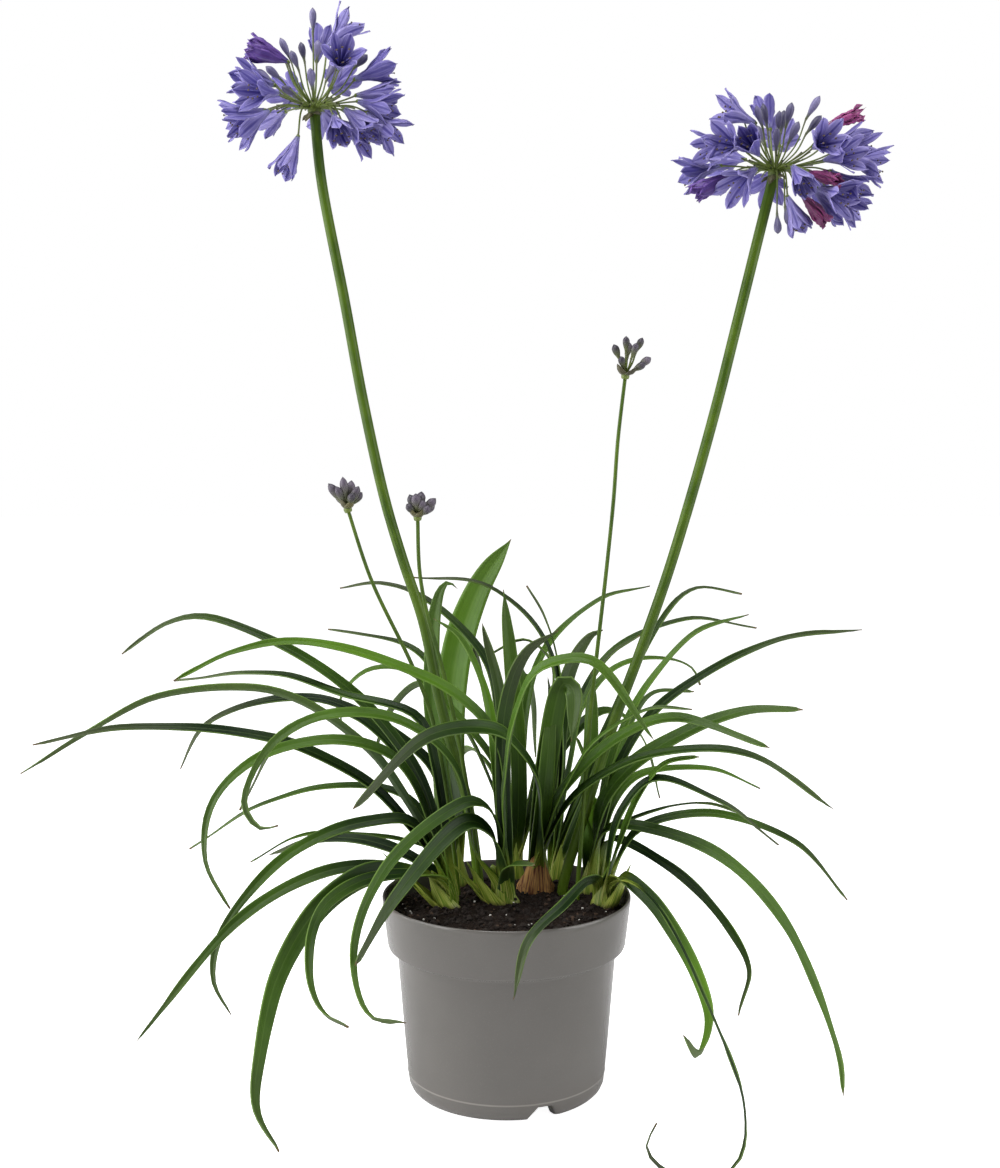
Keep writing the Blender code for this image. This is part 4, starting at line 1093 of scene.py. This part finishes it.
def make_umbel(scape):
    """A flower head: florets, closed buds, bare stalks and the remains of the spathe, all from one knob."""
    flowers = UMBELS[scape]
    node = "umbel_" + scape
    origin, along = head_place(scape, UMBEL_KNOB)
    petals, parts, bracts = bmesh.new(), bmesh.new(), bmesh.new()
    knob_body(parts, along, UMBEL_KNOB_DRAWN)
    for state, foot, mouth in flowers["florets"]:
        foot_point = Vector(foot) * MM
        stalk(parts, foot_point, FLOWER_STALK, DICE.random())
        floret(petals, parts, state, foot_point, Vector(mouth) * MM)
    for tip in flowers["buds"]:
        tip_point = Vector(tip) * MM
        length = DICE.uniform(*BUD_LENGTHS)
        base = tip_point - tip_point.normalized() * length
        stalk(parts, base, BUD_STALK, DICE.random())
        bud(parts, base, tip_point, DICE.uniform(*BUD_RADII), DICE.random(), BUD_AT)
    for index in range(FILL_STALKS):
        angle = TURN * index / FILL_STALKS + DICE.uniform(-0.2, 0.2)
        out = Vector((math.cos(angle), math.sin(angle), DICE.uniform(-0.25, 0.5))).normalized()
        stalk(parts, out * DICE.uniform(*FILL_LENGTHS), FILL_STALK, DICE.random())
    for angle, drop in SPATHE_REMAINS:
        tip = Vector((math.cos(angle) * SPATHE_REACH, math.sin(angle) * SPATHE_REACH, drop))
        root = Vector((tip.x * SPATHE_ROOT, tip.y * SPATHE_ROOT, -SPATHE_SUNK))
        bract(bracts, root, tip, SPATHE_HALF, DICE.random())
    for mesh in (petals, parts, bracts):
        bmesh.ops.translate(mesh, vec=origin, verts=mesh.verts)
    piece("petals_" + scape, petals, (PETAL, PETAL_FADED, PETAL_WITHERED), [node], wall=TEPAL_WALL)
    piece("stalks_and_buds_" + scape, parts, HEAD_FINISHES, [node])
    piece("spathe_remains_" + scape, bracts, HEAD_FINISHES, [node], wall=SPATHE_WALL)


# Closed heads: how plump each one's buds are, the one loose enough to show stalks, and its parts' sizes.
BUD_PLUMPNESS = {"left_short": 1.05, "middle_short": 1.15, "right_short": 0.95}
STALKED_HEAD = "right_short"
HEAD_STALK = 0.0009
HEAD_BUD_LENGTH = 0.013
HEAD_BUD_SHARE = 0.72
HEAD_BUD_RADII = (0.0027, 0.0033)
HEAD_ROOT = 0.12
BRACT_REACH = 0.82
BRACT_HALF = 0.0036
BRACT_WALL = 0.0004
BRACT_SUNK = 0.001


def make_bud_head(scape):
    """A closed head: buds crowded on one knob, stalked in the loosest head, and two bracts."""
    tips, bract_tips = BUD_HEADS[scape]
    node = "bud_head_" + scape
    origin, along = head_place(scape, BUD_KNOB)
    parts, bracts = bmesh.new(), bmesh.new()
    knob_body(parts, along, BUD_KNOB_DRAWN)
    for tip in tips:
        tip_point = Vector(tip) * MM
        length = min(HEAD_BUD_LENGTH, tip_point.length * HEAD_BUD_SHARE)
        base = tip_point - tip_point.normalized() * length
        if scape == STALKED_HEAD:
            stalk(parts, base, HEAD_STALK, DICE.random())
        else:
            base = tip_point * HEAD_ROOT
        radius = DICE.uniform(*HEAD_BUD_RADII) * BUD_PLUMPNESS[scape]
        bud(parts, base, tip_point, radius, DICE.random(), HEAD_BUD_AT)
    for tip in bract_tips:
        tip_point = Vector(tip) * MM * BRACT_REACH
        base = Vector((tip_point.x * HEAD_ROOT, tip_point.y * HEAD_ROOT, -BRACT_SUNK))
        bract(bracts, base, tip_point, BRACT_HALF, DICE.random())
    for mesh in (parts, bracts):
        bmesh.ops.translate(mesh, vec=origin, verts=mesh.verts)
    piece("buds_" + scape, parts, HEAD_FINISHES, [node])
    piece("bracts_" + scape, bracts, HEAD_FINISHES, [node], wall=BRACT_WALL)


# The pot in section, as (radius, height): out under the foot, up the outside and down the inside.
POT_SECTION = (
    (0.0, 0.004), (0.0605, 0.004), (0.0630, 0.0008), (0.0640, 0.0), (0.0690, 0.0), (0.0718, 0.0008),
    (0.0738, 0.0028), (0.0752, 0.0060), (0.0756, 0.0100), (0.07596, 0.0128), (0.07628, 0.0134),
    (0.07606, 0.0141), (0.0780, 0.0360), (0.0800, 0.0610), (0.0820, 0.0860), (0.0834, 0.1040),
    (0.0838, 0.1085), (0.0845, 0.1105), (0.0870, 0.1118), (0.0894, 0.1122), (0.0906, 0.1130),
    (0.0911, 0.1146), (0.0922, 0.1240), (0.0938, 0.1380), (0.0946, 0.1450), (0.0950, 0.1472),
    (0.0950, 0.1497), (0.09465, 0.1507), (0.0940, 0.1510), (0.0934, 0.1506), (0.0932, 0.1490),
    (0.0922, 0.1390), (0.0905, 0.1240), (0.0893, 0.1150), (0.0850, 0.1128), (0.0824, 0.1090),
    (0.0816, 0.1030), (0.0780, 0.0610), (0.0744, 0.0160), (0.0735, 0.0092), (0.0640, 0.0060),
    (0.0, 0.0060),
)
POT_SIDES = 120
POT_MERGE_GAP = 0.00001
FOOT_RING_INNER = 0.0625
FOOT_NOTCHES = (-68, 52, 172)
NOTCH_HALF_ANGLE = 8.5
NOTCH_FLAT = 0.62
NOTCH_RISE = 0.0092
NOTCH_TOP = 0.0124
DRAINS = 6
DRAIN_CIRCLE = 0.042
DRAIN_RADIUS = 0.005
DRAIN_LEVEL = 0.0050
DRAIN_DEPTH = 0.0024
DRAIN_SIDES = 24


def notch_lift(angle):
    """How far the foot is raised at this angle: flat-topped arches with steep sides."""
    lift = 0.0
    for middle in FOOT_NOTCHES:
        off = (math.degrees(angle) - middle + 180) % 360 - 180
        fall = smooth_step(abs(off), NOTCH_HALF_ANGLE * NOTCH_FLAT, NOTCH_HALF_ANGLE)
        lift = max(lift, NOTCH_RISE * (1 - fall))
    return lift


def make_pot():
    """The pot spun from its section, its foot lifted at the notches, with soil showing in its drains."""
    bm = bmesh.new()
    points = [bm.verts.new((radius, 0, z)) for radius, z in POT_SECTION]
    edges = [bm.edges.new(pair) for pair in zip(points, points[1:])]
    bmesh.ops.spin(bm, geom=points + edges, cent=(0, 0, 0), axis=(0, 0, 1), angle=TURN, steps=POT_SIDES,
                   use_merge=True)
    bmesh.ops.remove_doubles(bm, verts=bm.verts, dist=POT_MERGE_GAP)
    bmesh.ops.recalc_face_normals(bm, faces=bm.faces)
    for vertex in bm.verts:
        radius = math.hypot(vertex.co.x, vertex.co.y)
        if radius > FOOT_RING_INNER and vertex.co.z < NOTCH_TOP:
            lift = notch_lift(math.atan2(vertex.co.y, vertex.co.x))
            vertex.co.z += lift * (1 - vertex.co.z / NOTCH_TOP)
    for face in bm.faces:
        face.smooth = True
    piece("pot", bm, (POT_PLASTIC,), ["nursery_pot"])
    holes = bmesh.new()
    for index in range(DRAINS):
        angle = TURN * (index + 0.5) / DRAINS
        x, y = DRAIN_CIRCLE * math.cos(angle), DRAIN_CIRCLE * math.sin(angle)
        bmesh.ops.create_cone(holes, cap_ends=True, segments=DRAIN_SIDES, radius1=DRAIN_RADIUS,
                              radius2=DRAIN_RADIUS, depth=DRAIN_DEPTH,
                              matrix=Matrix.Translation((x, y, DRAIN_LEVEL)))
    piece("soil_in_drain_holes", holes, (SOIL,), ["potting_soil"], closed=True)


# The soil's bed: its radius in the pot, the share of its grid that is the top, and the drop of its skirt.
SOIL_RADIUS = 0.0912
SOIL_FACE = 0.94
SOIL_SKIRT = 0.007
SOIL_COLUMNS = 220
SOIL_ROWS = 110
GRAIN_CIRCLE = 0.0895

# Loose grains as (count, smallest and largest size, finish among the grains' own, flatness).
SOIL_GRAINS = (
    (1300, 0.0006, 0.0020, 0, 0.8),
    (260, 0.0018, 0.0036, 0, 0.6),
    (200, 0.0008, 0.0024, 1, 0.5),
    (60, 0.0005, 0.0012, 2, 0.85),
)
GRAIN_LIFT = 0.3
GRAIN_ROUGHNESS = 0.16

# The soil's relief as (height, grains to the metre), its fall to the wall, and its humps round the shoots.
RELIEF = ((0.0022, 60), (0.0016, 150), (0.0010, 380))
WALL_FALL = 0.004
WALL_FALLS = (0.070, 0.092)
HUMP = 0.0035
HUMP_SPREAD = 0.00022
HUMP_MOST = 0.004


def soil_height(x, y):
    """The crumbly surface: clods over a level bed that falls a little to the wall."""
    radius = math.hypot(x, y)
    edge = WALL_FALL * smooth_step(radius, *WALL_FALLS)
    at = Vector((x, y, 0))
    relief = sum(height * noise(at * pace) for height, pace in RELIEF)
    hump = sum(HUMP * math.exp(-((x - centre[0]) ** 2 + (y - centre[1]) ** 2) / HUMP_SPREAD)
               for centre, _ in SHOOTS.values())
    return SOIL_TOP - edge + relief + min(hump, HUMP_MOST)


def grain(bm, x, y, size, finish, flat):
    """One small rough lump that lies on the soil."""
    turn = Matrix.Rotation(DICE.uniform(0, TURN), 4, (DICE.random(), DICE.random(), 1))
    shape = Matrix.Diagonal((size, size * DICE.uniform(0.6, 1.0), size * flat, 1))
    place = Matrix.Translation((x, y, soil_height(x, y) + size * GRAIN_LIFT))
    made = bmesh.ops.create_icosphere(bm, subdivisions=1, radius=1, matrix=place @ turn @ shape)["verts"]
    for vertex in made:
        vertex.co += Vector([DICE.uniform(-GRAIN_ROUGHNESS, GRAIN_ROUGHNESS) * size for _ in range(3)])
    for face in {face for vertex in made for face in vertex.link_faces}:
        face.material_index = finish


def make_soil():
    """The crumbly bed of soil, and the crumbs, bark and perlite that lie on it."""

    def spot(across, share):
        angle = TURN * across
        radius = SOIL_RADIUS * math.sqrt(min(1.0, share / SOIL_FACE))
        x, y = radius * math.cos(angle), radius * math.sin(angle)
        drop = SOIL_SKIRT * smooth_step(share, SOIL_FACE, 1.0)
        return Vector((x, y, soil_height(x, y) - drop))

    bed = bmesh.new()
    skin(bed, spot, SOIL_COLUMNS, SOIL_ROWS)
    piece("soil_surface", bed, (SOIL,), ["potting_soil"], closed=True)
    grains = bmesh.new()
    for count, low, high, finish, flat in SOIL_GRAINS:
        for _ in range(count):
            radius = GRAIN_CIRCLE * math.sqrt(DICE.random())
            angle = DICE.uniform(0, TURN)
            size = DICE.uniform(low, high)
            grain(grains, radius * math.cos(angle), radius * math.sin(angle), size, finish, flat)
    piece("soil_grains", grains, (CRUMB, BARK, PERLITE), ["potting_soil"])


# Pointed scales round the shoots' feet, each as (middle turn, half spread, height in mm, lean, size).
GREEN_SCALES = {
    "front_left": ((-100, 70, 34, -0.60, 1.02), (-165, 62, 44, -0.95, 1.12), (165, 60, 50, -1.10, 1.0)),
    "front_middle": ((-85, 66, 36, -0.20, 1.02), (-140, 66, 42, -0.70, 1.12), (170, 60, 44, -1.05, 1.1)),
    "middle": ((-60, 60, 52, 0.10, 1.0),),
    "front_right": ((-115, 64, 34, 0.05, 1.05), (-50, 64, 42, 0.50, 1.1)),
    "right": ((-110, 66, 36, 0.0, 1.05), (-40, 60, 44, 0.45, 1.1)),
    "back_left": ((-70, 66, 44, 0.0, 1.05), (-150, 66, 48, -0.45, 1.1)),
    "back_right": ((-80, 66, 42, 0.15, 1.1),),
    "back": ((-90, 66, 40, 0.0, 1.1),),
}
PAPERY_SCALES = {
    "middle": ((-92, 88, 47, 0.05, 1.34), (-150, 60, 22, -0.15, 1.40), (-40, 56, 24, 0.20, 1.40)),
}
GREEN_TORN = 0.04
PAPERY_TORN = 0.22
SCALE_DEPTH = 0.008
SCALE_COLUMNS = 20
SCALE_ROWS = 16
SCALE_WALL = 0.0005


def wrap_scale(bm, shoot, turn, spread, height, lean, size, torn):
    """A pointed scale wrapped round the foot of a shoot, bulging low down and drawn in at its tip."""
    centre, radii = SHOOTS[shoot]
    seed = DICE.uniform(0, 60)
    low = SOIL_TOP - SCALE_DEPTH
    full = height * MM

    def spot(across, share):
        s = 2 * across - 1
        angle = math.radians(turn + spread * s)
        peak = 1 - 0.84 * abs(s) ** 1.25 - torn * abs(noise(Vector((across * 9 + seed, 0, 0))))
        rise = full * share * max(peak, 0.06)
        reach = size * (1 + 0.07 * math.sin(math.pi * min(1.0, 2.2 * rise / full)))
        reach -= 0.52 * smooth_step(rise, 0.010, full * 1.05)
        reach += 0.04 * noise(Vector((across * 5 + seed, share * 4, 2)))
        return Vector((centre[0] + radii[0] * reach * math.cos(angle) + lean * max(0.0, rise - 0.006),
                       centre[1] + radii[1] * reach * math.sin(angle), low + rise))

    skin(bm, spot, SCALE_COLUMNS, SCALE_ROWS, DICE.uniform(0.3, 0.9))


def make_scales(name, table, finish, torn):
    """One piece for each shoot that has scales of this kind."""
    for shoot, scales in table.items():
        bm = bmesh.new()
        for scale in scales:
            wrap_scale(bm, shoot, *scale, torn)
        piece(name + "_" + shoot, bm, (finish,), ["shoot_" + shoot], wall=SCALE_WALL)


def make_stage():
    """A pale floor that shows white to the camera and lights the plant's underside weakly."""
    floor = Finish("pale studio floor", 0.9)
    cloud = floor.noise(2.0, 2.0)
    floor.colour(floor.mix(cloud, (0.88, 0.88, 0.88), (0.92, 0.92, 0.92)))
    rays = floor.node("LightPath").outputs["Is Camera Ray"]
    glow = floor.node("MapRange", {"Value": rays, "To Min": FLOOR_GLOW_AROUND, "To Max": FLOOR_GLOW_SEEN})
    floor.set(Emission_Color=WHITE, Emission_Strength=glow.outputs[0])
    bm = bmesh.new()
    bmesh.ops.create_grid(bm, x_segments=1, y_segments=1, size=FLOOR_HALF)
    mesh = bpy.data.meshes.new("studio_floor")
    bm.to_mesh(mesh)
    bm.free()
    made = bpy.data.objects.new("studio_floor", mesh)
    bpy.context.scene.collection.objects.link(made)
    mesh.materials.append(floor.material)


def soft_light(name, place, size, power):
    """A softbox that faces the plant."""
    lamp = bpy.data.lights.new(name, "AREA")
    lamp.shape = "RECTANGLE"
    lamp.size, lamp.size_y = size
    lamp.energy = power
    made = bpy.data.objects.new(name, lamp)
    made.location = place
    made.rotation_euler = (Vector(LIGHT_TARGET) - Vector(place)).to_track_quat("-Z", "Y").to_euler()
    bpy.context.scene.collection.objects.link(made)


def make_lights():
    """White to the camera all round, a weaker even light on the plant, and three softboxes."""
    sky = bpy.data.worlds.new("studio")
    sky.use_nodes = True
    tree = sky.node_tree
    plain = tree.nodes["Background"]
    plain.inputs["Color"].default_value = (*WHITE, 1.0)
    rays = tree.nodes.new("ShaderNodeLightPath")
    level = tree.nodes.new("ShaderNodeMapRange")
    level.inputs["To Min"].default_value = AMBIENT
    level.inputs["To Max"].default_value = 1.0
    tree.links.new(rays.outputs["Is Camera Ray"], level.inputs["Value"])
    tree.links.new(level.outputs[0], plain.inputs["Strength"])
    bpy.context.scene.world = sky
    bpy.context.scene.view_settings.view_transform = "Standard"
    for softbox in SOFTBOXES:
        soft_light(*softbox)


def make_camera():
    """The photograph's view of the plant."""
    lens = bpy.data.cameras.new("photo_camera")
    lens.sensor_width = SENSOR
    lens.sensor_height = SENSOR
    lens.lens = FOCAL_PIXELS * SENSOR / PICTURE_HEIGHT
    made = bpy.data.objects.new("photo_camera", lens)
    made.location = CAMERA_PLACE
    made.rotation_euler = (math.radians(90 - CAMERA_TILT), 0, 0)
    bpy.context.scene.collection.objects.link(made)
    bpy.context.scene.camera = made


# How bright each leaf is, from 0 to 1: at random, except for those that stand out in the photograph.
SET_TONES = {
    "front_left": {8: 0.45},
    "back_left": {3: 0.55, 4: 0.62},
    "front_middle": {2: 0.50, 3: 0.25, 8: 0.55},
    "middle": {0: 0.45},
    "right": {0: 1.0},
    "front_right": {5: 0.12},
    "back": {1: 0.6},
}
TONES = {shoot: [DICE.uniform(0.05, 0.80) for _ in leaves] for shoot, leaves in LEAVES.items()}
for shoot_name, chosen in SET_TONES.items():
    for leaf_order, leaf_tone in chosen.items():
        TONES[shoot_name][leaf_order] = leaf_tone

make_pot()
make_soil()
make_shoots()
make_scales("papery_scales", PAPERY_SCALES, PAPERY, PAPERY_TORN)
make_scales("leaf_scales", GREEN_SCALES, BASE, GREEN_TORN)
make_scapes()
for scape_name in UMBELS:
    make_umbel(scape_name)
for scape_name in BUD_HEADS:
    make_bud_head(scape_name)
make_stage()
make_lights()
make_camera()
